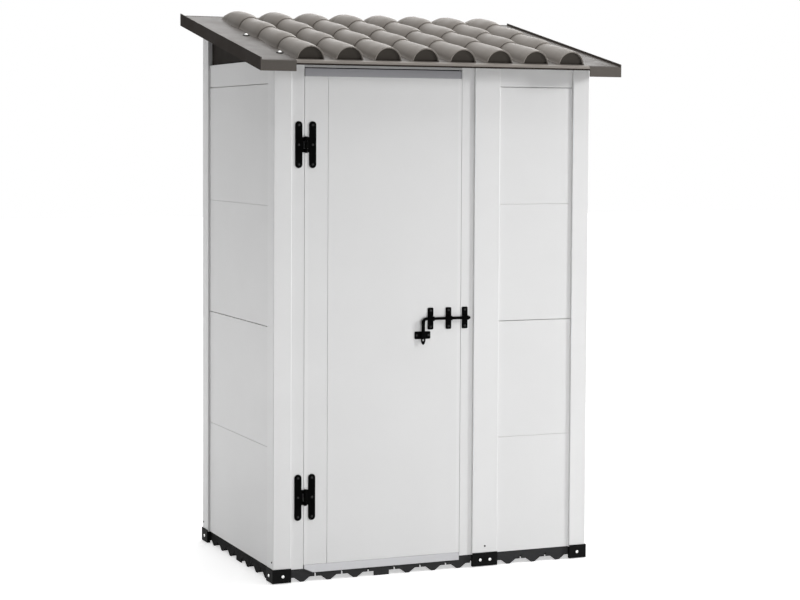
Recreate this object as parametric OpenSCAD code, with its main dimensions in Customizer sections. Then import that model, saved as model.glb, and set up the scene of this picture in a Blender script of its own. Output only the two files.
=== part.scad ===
// Garden shed: plastic plank walls on clip-together floor tiles, a hinged door with a
// slide bolt, and a one-piece lean-to roof moulded as rows of barrel tiles.
// Millimetres, +Z up, front face towards -Y. The origin is on the ground, under the
// middle of the roof's plan, so the roof sets the width and depth of the whole object.

/* [Floor] */
// Side of one square floor tile
tile_side = 400; // [380:5:430]
// Height of a floor tile, from its feet to its top
tile_h = 46; // [40:1:60]
// Thickness of a tile's top plate and of its ribs
tile_wall = 4; // [3:0.5:6]
// Height of the pointed feet under a tile
foot_h = 16; // [10:1:18]

/* [Posts and walls] */
// Width of a corner post
post_w = 66; // [60:1:80]
// Wall of the hollow posts
post_wall = 2.5; // [2:0.5:3]
// Width of the post between the door and the fixed panel
mullion_w = 100; // [90:1:120]
// How far the wall faces lie behind the post faces
panel_inset = 8; // [7:0.5:10]
// Thickness of the wall boards and the door
board_t = 22; // [18:1:26]
// Skin and web thickness inside a hollow board
board_skin = 2; // [1.5:0.5:3]
// Height of one row of planks
row_h = 422; // [380:2:430]
// Height of the narrow top plank
top_row_h = 85; // [60:1:100]
// Depth of the slots that hold the boards in the posts
slot_depth = 14; // [10:1:16]
// Side clearance of a board in its slot
panel_fit = 0.2; // [0.1:0.05:0.4]
// Bevel along the seams between planks
seam_bevel = 1.5; // [0.5:0.25:1.75]

/* [Door] */
// Width of the jamb strips beside the door
jamb_w = 48; // [40:1:70]
// Gap around the door leaf
door_gap = 2.5; // [2:0.25:4]
// How far the leaf's top lies below the roof's front edge
door_drop = 23; // [22:1:120]
// Gap between the leaf's top and the header
header_gap = 3; // [2.5:0.5:6]
// Height of the leaf's underside above the floor
door_lift = 4; // [3.5:0.5:6]
// Width of the leaf's narrow hinge-side board
door_narrow_w = 85; // [75:1:140]
// Face height of the metal strips at the top and bottom of the leaf
strip_h = 28; // [26:1:36]
// Thickness of those strips
strip_t = 2.5; // [1.5:0.25:2.5]
// How far the bottom strip hangs below the top of the floor
strip_lap = 15; // [8:1:16]
// Gap between the bottom strip's back and the edge of the floor
lap_gap = 2; // [1.5:0.5:8]
// Face width of the leaf's edge trims
trim_w = 12; // [8:1:16]
// Thickness of the leaf's edge trims
trim_t = 1; // [0.75:0.25:1.25]

/* [Hinges] */
// Height of a hinge's two bars
hinge_h = 162; // [120:2:200]
// Width of one bar
hinge_bar_w = 26; // [20:1:27]
// Distance from the pin to the middle of a bar
hinge_reach = 25.5; // [25:0.5:27]
// Height of the knuckle and its bridges
knuckle_h = 53; // [40:1:80]
// Outer radius of the knuckle
knuckle_r = 6.5; // [5.5:0.25:6.75]
// Thickness of the hinge leaves
hinge_t = 3; // [2:0.25:3.5]
// Radius of the hinge pin
pin_r = 3; // [2:0.25:3.5]
// Running clearance between pin and knuckle
pin_fit = 0.06; // [0.03:0.01:0.09]
// Distance from the leaf's underside to the middle of the lower hinge
hinge_low_in = 247; // [200:1:400]
// Distance from the leaf's top to the middle of the upper hinge
hinge_high_in = 264; // [200:1:400]

/* [Bolt] */
// Height of the bolt's rod
bolt_z = 907; // [700:5:1200]
// Radius of the rod
rod_r = 5; // [4:0.25:6]
// Running clearance of the rod in its keepers
rod_fit = 0.08; // [0.05:0.01:0.1]
// Width of a keeper
keeper_w = 22; // [16:1:24]
// Height of a keeper
keeper_h = 78; // [60:1:100]
// Length of the handle below the rod
handle_drop = 92; // [80:1:110]
// Distance between the jamb's keeper and the next one
keeper_step = 64; // [56:1:70]
// Distance between the jamb's keeper and the far one
keeper_span = 134; // [124:1:150]
// Height of the hasp plate's middle below the rod
hasp_drop = 58; // [54:1:64]

/* [Roof] */
// Overhang at each side
roof_side = 80; // [60:1:110]
// Overhang at the front
roof_front = 94; // [80:1:120]
// Overhang at the back
roof_back = 30; // [20:1:60]
// How far the roof's front edge lies below the top of the side walls
eave_drop = 8; // [6:1:14]
// Slope of the roof in degrees
roof_pitch = 11.8; // [8:0.1:14]
// Thickness of the roof sheet
sheet_t = 3; // [2.5:0.25:4]
// Depth of the skirt around the sheet
skirt_h = 38; // [30:1:50]
// Depth of the front lip where the skirt is cut away over the door
lip_h = 10; // [8:1:12]
// Height of the rim that stands up along the sides
rim_h = 8; // [4:0.5:12]
// Height of the low rim along the back
rear_rim_h = 2; // [1:0.5:6]
// Distance from the side of the walls to the middle of the first row of barrel tiles
barrel_side = 109.5; // [104:0.5:120]
// Radius of a barrel tile at its lower end
barrel_r = 52; // [46:1:54]
// Radius of a barrel tile at its upper end
barrel_top_r = 44; // [38:1:45]
// How far the middle of a row lies below the sheet's top surface
barrel_sink = 4; // [2:0.5:8]
// Distance from the roof's front edge to the mouths of the rows
barrel_front = 30; // [20:1:40]
// Distance from the roof's back edge to the rounded ends of the rows
barrel_back = 14; // [10:1:40]
// How much longer the last tile of a row is than the others
tail_len = 44; // [20:1:60]
// Length of a row's rounded end
dome_len = 110; // [60:2:130]

/* [Hidden] */

$fn = 48;
tile_cols = 3;
tile_rows = 2;
cells = 4;
foot_half = 29;
foot_tip = 7;
slit_half = 3;
slit_h = 13;
eps = 0.01;
big = 4000;

// Plan sizes follow the tile grid
floor_inset = panel_inset + lap_gap;
body_w = tile_cols * tile_side + 2 * floor_inset;
body_d = tile_rows * tile_side + 2 * floor_inset;
front_y = roof_front - (body_d + roof_front + roof_back) / 2;
panel_back = panel_inset + board_t;

// Heights
floor_z = tile_h;
wall_top_z = floor_z + 4 * row_h + top_row_h;
eave_z = wall_top_z - eave_drop;
door_z = floor_z + door_lift;
door_top_z = eave_z - door_drop;
door_h = door_top_z - door_z;
header_z = door_top_z + header_gap;
strip_top_z = floor_z - strip_lap + strip_h;
door_skin = trim_t + 1.5;
slope = tan(roof_pitch);

// Door opening, measured along the front from the left post's outer face
mullion_s = floor_inset + 2 * tile_side - mullion_w / 2;
opening_s = post_w + jamb_w;
opening_end = mullion_s - jamb_w;
leaf_s = opening_s + door_gap;
leaf_w = opening_end - opening_s - 2 * door_gap;
leaf_end = leaf_s + leaf_w;

// Boards reach into the slots of the posts
grip = slot_depth - 1;
board_bevel = min(seam_bevel, board_skin - 0.25);

// Hinge pin: in front of the wall face, over the seam at the leaf's edge
hinge_s = leaf_s + 2;
hinge_y = panel_inset - knuckle_r - 0.5;
plate_y = panel_inset - hinge_t;
screw_span = hinge_h / 2 - hinge_bar_w / 2;
hinge_low_z = door_z + hinge_low_in;
hinge_high_z = door_top_z - hinge_high_in;
hinge_heights = [hinge_low_z, hinge_high_z];

// Bolt: the rod runs in front of the door in three keepers
keeper_plate = 2.5;
bolt_y = panel_inset - keeper_plate - rod_r - 1.5;
keeper_r = rod_r + 3;
jamb_keeper_s = opening_end + keeper_w / 2 + 4;
outer_keeper_s = jamb_keeper_s - keeper_step;
inner_keeper_s = jamb_keeper_s - keeper_span;
rod_end_s = jamb_keeper_s + keeper_w / 2 + 7;
bend_s = inner_keeper_s - 31;
bend_r = 12;
rod_start_s = bend_s + bend_r + 1;
sleeve_end_s = inner_keeper_s - keeper_w / 2 - 1.5;
handle_t = 5;
handle_hole_z = bolt_z - handle_drop + 17;
handle_hole_r = 4;
blade_h = 44;
blade_r = 9;
hasp_w = 61;
hasp_h = 27;
hasp_z = bolt_z - hasp_drop;
hasp_screw = 23;

// Roof
roof_w = body_w + 2 * roof_side;
roof_len = (body_d + roof_front + roof_back) / cos(roof_pitch);
sheet_drop = sheet_t / cos(roof_pitch);
roof_rest = 0.05;
rim_w = 4;
lip_start = 128;
columns = 8;
barrels = 4;
barrel_pitch = (body_w - 2 * barrel_side) / (columns - 1);
barrel_wall = 3;
barrel_cap = 6;
dome_step = 15;
barrel_len = (roof_len - barrel_front - barrel_back - tail_len) / barrels;
row_len = barrels * barrel_len + tail_len;

// Parts behind the front wall
rafter_h = 30;
rafter_w = 22;
rail_w = 26;
rail_h = 40;
stop_gap = 0.8;
stop_t = 8;
stop_lap = 12;
gable_t = 4;

// Screws
screw_r = 2;
screw_fit = 0.15;
bracket_t = 3;
bracket_z = 3;
bracket_top_z = floor_z + 6;
bracket_screw_z = 26;
bracket_screw_in = 35;
mullion_screw = 19;
plug_h = 60;
plug_t = 3;
plug_fit = 1.5;
plug_w = post_w - slot_depth - 2 * post_wall - 2 * plug_fit;
post_screw_z = floor_z + 29;
post_screw_in = 14;
roof_screw_in = 36;
roof_screw_y = 44;
roof_head_r = 7;
roof_head_h = 5;
washer_r = 13;
washer_t = 2;

black = [0.09, 0.09, 0.10];
white = [0.90, 0.90, 0.90];
aluminium = [0.68, 0.68, 0.69];
roof_colour = [0.22, 0.20, 0.19];
dark_brown = [0.16, 0.14, 0.13];
zinc = [0.75, 0.75, 0.74];

// Everything below is laid out from the left post's outer face, the posts' front face
// and the ground, and then moved onto the origin
module place() {
    translate([-body_w / 2, front_y, 0]) children();
}

module mirror_x() {
    translate([body_w, 0, 0]) mirror([1, 0, 0]) children();
}

module mirror_y() {
    translate([0, body_d, 0]) mirror([0, 1, 0]) children();
}

// Height of the sheet's top surface above a line at depth y
function roof_z(y) = eave_z + slope * (y + roof_front);

// Cuts a piece off just under the roof's underside, or a given drop below it
module under_roof(drop = 0) {
    t = sheet_drop + (drop + roof_rest) / cos(roof_pitch);
    difference() {
        children();
        translate([-big / 4, 0, 0])
            rotate([90, 0, 90])
            linear_extrude(big)
            polygon([
                [-roof_front, roof_z(-roof_front) - t],
                [body_d + roof_back, roof_z(body_d + roof_back) - t],
                [body_d + roof_back, big],
                [-roof_front, big]
            ]);
    }
}

// Roof-plane coordinates: x along the shed, y up the slope, z square to the sheet
module in_roof_plane() {
    translate([0, -roof_front, eave_z]) rotate([roof_pitch, 0, 0]) children();
}

// Screws point along +Y into the work, with the head on the near side
module screw(head_r, head_h, length) {
    rotate([90, 0, 0]) cylinder(r = head_r, h = head_h * 0.55);
    translate([0, -head_h * 0.55, 0]) rotate([90, 0, 0])
        cylinder(r1 = head_r, r2 = head_r * 0.55, h = head_h * 0.45);
    rotate([-90, 0, 0]) cylinder(r = screw_r, h = length);
}

module screw_hole(length) {
    translate([0, -1, 0]) rotate([-90, 0, 0]) cylinder(r = screw_r + screw_fit, h = length + 1);
}

// Floor tiles

// Outline of a rib: slits between the cells, pointed feet on the cell lines
module rib_outline(side) {
    cell = side / cells;
    difference() {
        union() {
            translate([0, foot_h]) square([side, tile_h - tile_wall - foot_h]);
            for (i = [1 : cells - 1])
                polygon([
                    [i * cell - foot_half, foot_h + eps],
                    [i * cell - foot_tip, 0],
                    [i * cell + foot_tip, 0],
                    [i * cell + foot_half, foot_h + eps]
                ]);
            for (x = [0, side - foot_half])
                translate([x, 0]) square([foot_half, foot_h + eps]);
        }
        for (i = [0 : cells - 1])
            translate([(i + 0.5) * cell - slit_half, foot_h - eps])
                square([2 * slit_half, slit_h]);
    }
}

module floor_tile(col, row) {
    cell = tile_side / cells;
    color(black) place()
        translate([floor_inset + col * tile_side, floor_inset + row * tile_side, 0])
        difference() {
            union() {
                translate([0, 0, tile_h - tile_wall]) cube([tile_side, tile_side, tile_wall]);
                for (i = [0 : cells]) {
                    y = min(max(i * cell - tile_wall / 2, 0), tile_side - tile_wall);
                    translate([0, y + tile_wall, 0]) rotate([90, 0, 0])
                        linear_extrude(tile_wall) rib_outline(tile_side);
                    translate([y, 0, 0]) rotate([90, 0, 90])
                        linear_extrude(tile_wall) rib_outline(tile_side);
                }
            }
            floor_screw_holes(col, row);
        }
}

// Clearance for the bracket screws, in a tile's own coordinates
module floor_screw_holes(col, row) {
    translate([-floor_inset - col * tile_side, -floor_inset - row * tile_side, 0])
        bracket_screw_places() screw_hole(floor_inset + tile_wall + bracket_t + 8);
}

// Posts, hollow with a slot for each board edge

module slot_at(x, y, w, d, grow = 0) {
    translate([x - grow, y - grow]) square([w + 2 * grow, d + 2 * grow]);
}

module corner_slots(grow = 0) {
    s = panel_inset - panel_fit;
    w = board_t + 2 * panel_fit;
    slot_at(s, post_w - slot_depth, w, slot_depth + 1, grow);
    slot_at(post_w - slot_depth, s, slot_depth + 1, w, grow);
}

module corner_post_outline() {
    difference() {
        square(post_w);
        corner_slots();
        difference() {
            translate([post_wall, post_wall]) square(post_w - 2 * post_wall);
            corner_slots(post_wall);
        }
    }
}

module mullion_slots(grow = 0) {
    s = panel_inset - panel_fit;
    w = board_t + 2 * panel_fit;
    slot_at(-1, s, slot_depth + 1, w, grow);
    slot_at(mullion_w - slot_depth, s, slot_depth + 1, w, grow);
}

module mullion_outline() {
    difference() {
        square([mullion_w, post_w]);
        mullion_slots();
        difference() {
            translate([post_wall, post_wall])
                square([mullion_w - 2 * post_wall, post_w - 2 * post_wall]);
            mullion_slots(post_wall);
        }
    }
}

module post_body() {
    translate([0, 0, floor_z]) linear_extrude(big / 2 - floor_z) corner_post_outline();
}

// The foot screws are on the side faces of the corner posts
module post_screw_places() {
    for (y = [post_screw_in, body_d - post_screw_in]) {
        translate([0, y, post_screw_z]) rotate([0, 0, -90]) children();
        translate([body_w, y, post_screw_z]) rotate([0, 0, 90]) children();
    }
    translate([mullion_s + mullion_w / 2, 0, post_screw_z]) children();
}

module front_left_post() {
    difference() {
        under_roof() post_body();
        post_screw_places() screw_hole(12);
        roof_screw_places() screw_hole(16);
    }
}

module post_front_left() {
    color(white) place() front_left_post();
}

module post_front_right() {
    color(white) place() mirror_x() front_left_post();
}

module rear_left_post() {
    difference() {
        under_roof() mirror_y() post_body();
        post_screw_places() screw_hole(12);
    }
}

module post_rear_left() {
    color(white) place() rear_left_post();
}

module post_rear_right() {
    color(white) place() mirror_x() rear_left_post();
}

module mullion() {
    color(white) place() difference() {
        under_roof()
            translate([mullion_s, 0, floor_z])
            linear_extrude(big / 2 - floor_z) mullion_outline();
        post_screw_places() screw_hole(12);
    }
}

// Wall boards: hollow planks with bevelled long edges and a groove at mid height

module plank_outline(h, grooved) {
    n = max(2, 2 * round(h / 210));
    web_gap = (h - (n + 1) * board_skin) / n;
    b = board_bevel;
    difference() {
        square([board_t, h]);
        for (y = grooved ? [0, h / 2, h] : [0, h])
            polygon([[-eps, y - b], [b, y], [-eps, y + b]]);
        for (i = [0 : n - 1])
            translate([board_skin, board_skin + i * (web_gap + board_skin)])
                square([board_t - 2 * board_skin, web_gap]);
    }
}

// A board of the left wall, from height z0 to z1
module side_board(z0, z1, grooved = true) {
    length = body_d - 2 * post_w + 2 * grip;
    translate([panel_inset, body_d - post_w + grip, z0])
        rotate([90, 0, 0]) linear_extrude(length) plank_outline(z1 - z0, grooved);
}

// A board of the front, between two places along it
module front_board(s0, s1, z0, z1, grooved = true) {
    translate([s0, panel_inset, z0])
        rotate([90, 0, 90]) linear_extrude(s1 - s0) plank_outline(z1 - z0, grooved);
}

row_z = [floor_z, floor_z + 2 * row_h, floor_z + 4 * row_h, wall_top_z];

module left_wall(i) {
    side_board(row_z[i], row_z[i + 1], i < 2);
}

module left_wall_lower() {
    color(white) place() left_wall(0);
}

module left_wall_upper() {
    color(white) place() left_wall(1);
}

module left_wall_top() {
    color(white) place() under_roof() left_wall(2);
}

module right_wall_lower() {
    color(white) place() mirror_x() left_wall(0);
}

module right_wall_upper() {
    color(white) place() mirror_x() left_wall(1);
}

module right_wall_top() {
    color(white) place() mirror_x() under_roof() left_wall(2);
}

module rear_wall(z0, z1, grooved) {
    color(white) place() under_roof() mirror_y()
        front_board(post_w - grip, body_w - post_w + grip, z0, z1, grooved);
}

module rear_wall_lower() {
    rear_wall(row_z[0], row_z[1], true);
}

module rear_wall_upper() {
    rear_wall(row_z[1], row_z[2], true);
}

module rear_wall_top() {
    rear_wall(row_z[2], roof_z(body_d - panel_inset), false);
}

module front_panel(z0, z1, grooved) {
    color(white) place() under_roof()
        front_board(mullion_s + mullion_w - grip, body_w - post_w + grip, z0, z1, grooved);
}

module front_panel_lower() {
    front_panel(row_z[0], row_z[1], true);
}

module front_panel_upper() {
    front_panel(row_z[1], row_z[2], true);
}

module front_panel_top() {
    front_panel(row_z[2], roof_z(panel_inset), false);
}

// Door surround

module hollow_strip(w, d, wall) {
    difference() {
        square([w, d]);
        translate([wall, wall]) square([w - 2 * wall, d - 2 * wall]);
    }
}

module jamb_left() {
    color(white) place() difference() {
        under_roof()
            translate([post_w - grip, panel_inset, floor_z])
            linear_extrude(big / 2 - floor_z) hollow_strip(jamb_w + grip, board_t, board_skin);
        frame_leaf_screw_places() screw_hole(16);
    }
}

module jamb_right() {
    color(white) place() difference() {
        under_roof()
            translate([opening_end, panel_inset, floor_z])
            linear_extrude(big / 2 - floor_z) hollow_strip(jamb_w + grip, board_t, board_skin);
        translate([jamb_keeper_s, 0, 0]) keeper_screw_places() screw_hole(16);
    }
}

module door_header() {
    color(white) place() under_roof()
        translate([opening_s, panel_inset, header_z])
        rotate([90, 0, 90])
        linear_extrude(opening_end - opening_s)
        hollow_strip(board_t, roof_z(panel_inset) - header_z, board_skin);
}

// One frame-shaped stop behind the opening, with a shallow rebate for the closed leaf
module door_stops() {
    left = opening_s - 2 * stop_lap;
    right = opening_end + 2 * stop_lap;
    top = header_z + stop_lap;
    color(white) place() difference() {
        translate([left, panel_back, floor_z]) cube([right - left, stop_t, top - floor_z]);
        translate([leaf_s + stop_lap, panel_back - 1, floor_z - 1])
            cube([leaf_w - 2 * stop_lap, stop_t + 2, door_top_z - stop_lap - floor_z + 1]);
        translate([opening_s, panel_back - 1, floor_z - 1])
            cube([opening_end - opening_s, 1 + stop_gap, header_z - floor_z + 1]);
    }
}

// Inner frame that carries the roof

module front_top_rails() {
    y = panel_back + stop_t;
    color(aluminium) place() under_roof(rafter_h + roof_rest) {
        for (s = [[post_w, mullion_s], [mullion_s + mullion_w, body_w - post_w]])
            translate([s[0], y, roof_z(y) - rafter_h - rail_h])
                rotate([90, 0, 90])
                linear_extrude(s[1] - s[0]) hollow_strip(rail_w, 2 * rail_h, board_skin);
    }
}

module rear_top_rail() {
    y = body_d - panel_back - rail_w;
    color(aluminium) place() under_roof(rafter_h + roof_rest)
        translate([post_w, y, roof_z(y) - rafter_h - rail_h])
        rotate([90, 0, 90])
        linear_extrude(body_w - 2 * post_w) hollow_strip(rail_w, 2 * rail_h, board_skin);
}

// A rafter lies under the sheet from depth y0 to depth y1
module rafter(s, y0, y1) {
    difference() {
        intersection() {
            in_roof_plane()
                translate([s - rafter_w / 2, 0, -sheet_t - roof_rest - rafter_h])
                rotate([-90, -90, 0])
                linear_extrude(roof_len) hollow_strip(rafter_h, rafter_w, board_skin);
            translate([0, y0, 0]) cube([big, y1 - y0, big]);
        }
        roof_screw_places() screw_hole(16);
    }
}

module roof_rafters() {
    side_s = panel_back + 0.5 + rafter_w / 2;
    color(aluminium) place() {
        rafter(side_s, post_w, body_d - post_w);
        rafter(body_w - side_s, post_w, body_d - post_w);
        rafter(body_w / 2, panel_back + stop_t, body_d - panel_back);
    }
}

// Dark sheet that fills the triangle between a side wall and the roof
module gable() {
    under_roof()
        translate([panel_inset + (board_t - gable_t) / 2, post_w - grip, wall_top_z])
        cube([gable_t, body_d - 2 * post_w + 2 * grip, big / 4]);
}

module gable_left() {
    color(dark_brown) place() gable();
}

module gable_right() {
    color(dark_brown) place() mirror_x() gable();
}

// Roof

// A slab parallel to the roof, between two depths, from drop below the sheet's top
// surface to rise above it, with upright ends
module roof_slab(s0, s1, y0, y1, rise, drop) {
    translate([s0, 0, 0]) rotate([90, 0, 90]) linear_extrude(s1 - s0)
        polygon([
            [y0, roof_z(y0) - drop],
            [y1, roof_z(y1) - drop],
            [y1, roof_z(y1) + rise],
            [y0, roof_z(y0) + rise]
        ]);
}

// Flat sheet with a skirt all round, a rim that is high at the sides and low at the back,
// and a lower front lip over the door
module roof_tray() {
    s0 = -roof_side;
    s1 = body_w + roof_side;
    y0 = -roof_front;
    y1 = body_d + roof_back;
    difference() {
        roof_slab(s0, s1, y0, y1, rim_h, skirt_h);
        roof_slab(s0 + rim_w, s1 - rim_w, y0 + rim_w, y1 - rim_w, -sheet_drop, skirt_h + 1);
        roof_slab(s0 + rim_w, s1 - rim_w, y0 - 1, y1 - rim_w, rim_h + 1, 0);
        translate([0, 0, rear_rim_h]) roof_slab(s0 + rim_w, s1 - rim_w, y0, y1 + 1, rim_h, 0);
        roof_slab(s0 + lip_start, s1 - lip_start, y0 - 1, y0 + rim_w + eps, -lip_h, skirt_h + 1);
    }
}

// Outline of a row from its axis outwards, turned about that axis: wide end of each
// tile at the front, and a long rounded end behind the last one
function row_outline(shrink, start) = concat(
    [[0, start], [barrel_r - shrink, start]],
    [for (i = [1 : barrels - 1]) each [
        [barrel_top_r - shrink, i * barrel_len + shrink],
        [barrel_r - shrink, i * barrel_len + shrink]
    ]],
    [for (a = [0 : dome_step : 90 - dome_step]) [
        cos(a) * (barrel_top_r - shrink),
        row_len - dome_len + sin(a) * (dome_len - shrink)
    ]],
    [[0, row_len - shrink]]
);

module barrel_row() {
    rotate([-90, 0, 0]) rotate_extrude() polygon(row_outline(0, 0));
}

// Inside of a row: hollow behind a closing wall, with a shallow open mouth before it.
// The hollow's steps come one wall thickness later than the outer ones.
module barrel_row_inside() {
    rotate([-90, 0, 0]) rotate_extrude()
        polygon(row_outline(barrel_wall, barrel_cap + barrel_wall));
    intersection() {
        translate([0, -1, 0]) rotate([-90, 0, 0])
            cylinder(r = barrel_r - barrel_wall, h = barrel_cap + 1);
        translate([-barrel_r, -1, barrel_sink]) cube([2 * barrel_r, barrel_cap + 1, barrel_r]);
    }
}

module barrel_places() {
    for (i = [0 : columns - 1])
        translate([barrel_side + i * barrel_pitch, barrel_front, -barrel_sink]) children();
}

module roof_sheet() {
    color(roof_colour) place() difference() {
        union() {
            roof_tray();
            in_roof_plane() intersection() {
                barrel_places() barrel_row();
                translate([-roof_side, 0, -sheet_t / 2])
                    cube([roof_w, roof_len - rim_w, 2 * barrel_r]);
            }
        }
        in_roof_plane() intersection() {
            barrel_places() barrel_row_inside();
            translate([-roof_side, -1, -sheet_t - 1])
                cube([roof_w, roof_len - rim_w, 2 * barrel_r]);
        }
        roof_screw_places() screw_hole(12);
    }
}

// Screws through the flat borders of the sheet, into the posts and side rafters
module roof_screw_places() {
    for (s = [roof_screw_in, body_w - roof_screw_in])
        for (y = [roof_screw_y, body_d / 2])
            in_roof_plane()
                translate([s, (y + roof_front) / cos(roof_pitch), 0])
                rotate([-90, 0, 0]) children();
}

module roof_washers() {
    color(black) place() roof_screw_places() translate([0, -roof_rest, 0]) difference() {
        rotate([90, 0, 0]) cylinder(r = washer_r, h = washer_t);
        translate([0, -washer_t, 0]) screw_hole(washer_t + 1);
    }
}

module roof_screws() {
    color(zinc) place() roof_screw_places()
        translate([0, -washer_t - 2 * roof_rest, 0]) screw(roof_head_r, roof_head_h, 14);
}

// Post feet: a black shoe around the foot, with a plug inside the hollow post

module corner_shoe() {
    difference() {
        translate([-bracket_t, -bracket_t, bracket_z])
            cube([post_w + bracket_t, post_w + bracket_t, bracket_top_z - bracket_z]);
        translate([floor_inset, floor_inset, 0]) cube([post_w, post_w, floor_z + 1]);
        translate([0, 0, floor_z]) cube([post_w + 1, post_w + 1, tile_h]);
        bracket_screw_places() screw_hole(30);
    }
    difference() {
        translate([post_wall + plug_fit, post_wall + plug_fit, floor_z])
            cube([plug_w, plug_w, plug_h]);
        translate([post_wall + plug_fit + plug_t, post_wall + plug_fit + plug_t, floor_z - 1])
            cube([plug_w - 2 * plug_t, plug_w - 2 * plug_t, plug_h + 2]);
        post_screw_places() screw_hole(16);
    }
}

module bracket_front_left() {
    color(black) place() corner_shoe();
}

module bracket_front_right() {
    color(black) place() mirror_x() corner_shoe();
}

module bracket_rear_left() {
    color(black) place() mirror_y() corner_shoe();
}

module bracket_rear_right() {
    color(black) place() mirror_x() mirror_y() corner_shoe();
}

module bracket_mullion() {
    plug_s = mullion_s + slot_depth + post_wall + plug_fit;
    plug_len = mullion_w - 2 * (slot_depth + post_wall + plug_fit);
    color(black) place() difference() {
        union() {
            translate([mullion_s, -bracket_t, bracket_z])
                cube([mullion_w, bracket_t + floor_inset, floor_z - bracket_z]);
            translate([mullion_s, -bracket_t, floor_z - 1])
                cube([mullion_w, bracket_t, bracket_top_z - floor_z + 1]);
            translate([plug_s, post_wall + plug_fit, floor_z]) difference() {
                cube([plug_len, plug_w, plug_h]);
                translate([plug_t, plug_t, -1])
                    cube([plug_len - 2 * plug_t, plug_w - 2 * plug_t, plug_h + 2]);
            }
        }
        bracket_screw_places() screw_hole(30);
        post_screw_places() screw_hole(16);
    }
}

// Two screws in each corner shoe, one on each face, and two in the middle one
module bracket_screw_places() {
    for (s = [bracket_screw_in, body_w - bracket_screw_in]) {
        translate([s, -bracket_t, bracket_screw_z]) children();
        translate([s, body_d + bracket_t, bracket_screw_z]) rotate([0, 0, 180]) children();
    }
    for (y = [bracket_screw_in, body_d - bracket_screw_in]) {
        translate([-bracket_t, y, bracket_screw_z]) rotate([0, 0, -90]) children();
        translate([body_w + bracket_t, y, bracket_screw_z]) rotate([0, 0, 90]) children();
    }
    for (d = [-1, 1])
        translate([mullion_s + mullion_w / 2 + d * mullion_screw, -bracket_t, bracket_screw_z])
            children();
}

module bracket_screws() {
    color(zinc) place() bracket_screw_places()
        screw(5.5, 3, bracket_t + floor_inset + tile_wall - 1);
}

module post_screws() {
    color(black) place() post_screw_places() screw(3.5, 2, 8);
}

// Door leaf

module door_board_outline(w) {
    n = max(1, round(w / 84));
    gap = (w - (n + 1) * door_skin) / n;
    b = board_bevel;
    difference() {
        square([w, board_t]);
        for (x = [0, w]) polygon([[x - b, -eps], [x, b], [x + b, -eps]]);
        for (i = [0 : n - 1])
            translate([door_skin + i * (gap + door_skin), door_skin])
                square([gap, board_t - 2 * door_skin]);
    }
}

// Rebates around the leaf's rim, in which the trims and channels lie flush
module leaf_rebates() {
    out = 1;
    for (y = [panel_inset - out, panel_back - trim_t]) {
        for (s = [leaf_s - out, leaf_end - trim_w])
            translate([s, y, door_z - out]) cube([trim_w + out, trim_t + out, door_h + 2 * out]);
        translate([leaf_s - out, y, door_z - out])
            cube([leaf_w + 2 * out, trim_t + out, strip_top_z - door_z + out]);
        translate([leaf_s - out, y, door_top_z - strip_h])
            cube([leaf_w + 2 * out, trim_t + out, strip_h + out]);
    }
}

module door_board(s0, s1) {
    difference() {
        translate([s0, panel_inset, door_z + trim_t])
            linear_extrude(door_h - 2 * trim_t) door_board_outline(s1 - s0);
        leaf_rebates();
    }
}

module door_board_narrow() {
    color(white) place() difference() {
        door_board(leaf_s + trim_t, leaf_s + door_narrow_w);
        door_leaf_screw_places() screw_hole(16);
    }
}

module door_board_wide() {
    color(white) place() difference() {
        door_board(leaf_s + door_narrow_w, leaf_end - trim_t);
        latch_screw_places() screw_hole(16);
    }
}

// A channel of a given height over the leaf's whole width, open at the top
module leaf_channel(h) {
    difference() {
        cube([leaf_w, board_t, h]);
        translate([trim_t, trim_t, trim_t])
            cube([leaf_w - 2 * trim_t, board_t - 2 * trim_t, h]);
    }
}

// The channel caps the top ends of both boards
module door_top_channel() {
    color(aluminium) place()
        translate([leaf_s, panel_inset, door_top_z]) mirror([0, 0, 1]) leaf_channel(strip_h);
}

// A drip strip on the face of the leaf, which laps over the edge of the floor. Its
// hinge-side corner is cut off, and its channel closes the leaf's underside.
module door_bottom_strip() {
    z0 = floor_z - strip_lap;
    cut_s = 33;
    color(aluminium) place() {
        translate([leaf_s, panel_inset, z0]) rotate([90, 0, 0])
            linear_extrude(strip_t)
            polygon([
                [0, strip_lap], [cut_s, 0], [leaf_w, 0],
                [leaf_w, strip_h], [0, strip_h]
            ]);
        translate([leaf_s, panel_inset, door_z]) leaf_channel(strip_top_z - door_z);
    }
}

// Two U-shaped trims over the leaf's long edges
module door_edge_trims() {
    h = door_top_z - strip_h - strip_top_z;
    color(white) place() {
        edge_trim(h);
        translate([leaf_s + leaf_end, 0, 0]) mirror([1, 0, 0]) edge_trim(h);
    }
}

module edge_trim(h) {
    translate([leaf_s, panel_inset, strip_top_z]) difference() {
        cube([trim_w, board_t, h]);
        translate([trim_t, trim_t, -1]) cube([trim_w, board_t - 2 * trim_t, h + 2]);
    }
}

// Hinges

// One leaf: a long bar with round ends, a bridge and its share of the knuckle.
// The bar is on the side that dir points to; parts lists its knuckle sections.
module hinge_leaf(dir, parts) {
    reach = hinge_reach * dir;
    end_z = hinge_h / 2 - hinge_bar_w / 2;
    root = knuckle_r + 0.8;
    union() {
        difference() {
            union() {
                for (z = [-end_z, end_z])
                    translate([reach, hinge_t, z]) rotate([90, 0, 0])
                        cylinder(d = hinge_bar_w, h = hinge_t);
                translate([reach - hinge_bar_w / 2, 0, -end_z])
                    cube([hinge_bar_w, hinge_t, 2 * end_z]);
                translate([min(root * dir, reach), 0, -knuckle_h / 2])
                    cube([abs(reach - root * dir), hinge_t, knuckle_h]);
            }
            for (z = [-screw_span, 0, screw_span])
                translate([reach, 0, z]) screw_hole(hinge_t + 1);
        }
        for (p = parts) translate([0, 0, p[0]]) knuckle_part(dir, p[1] - p[0], root);
    }
}

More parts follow.
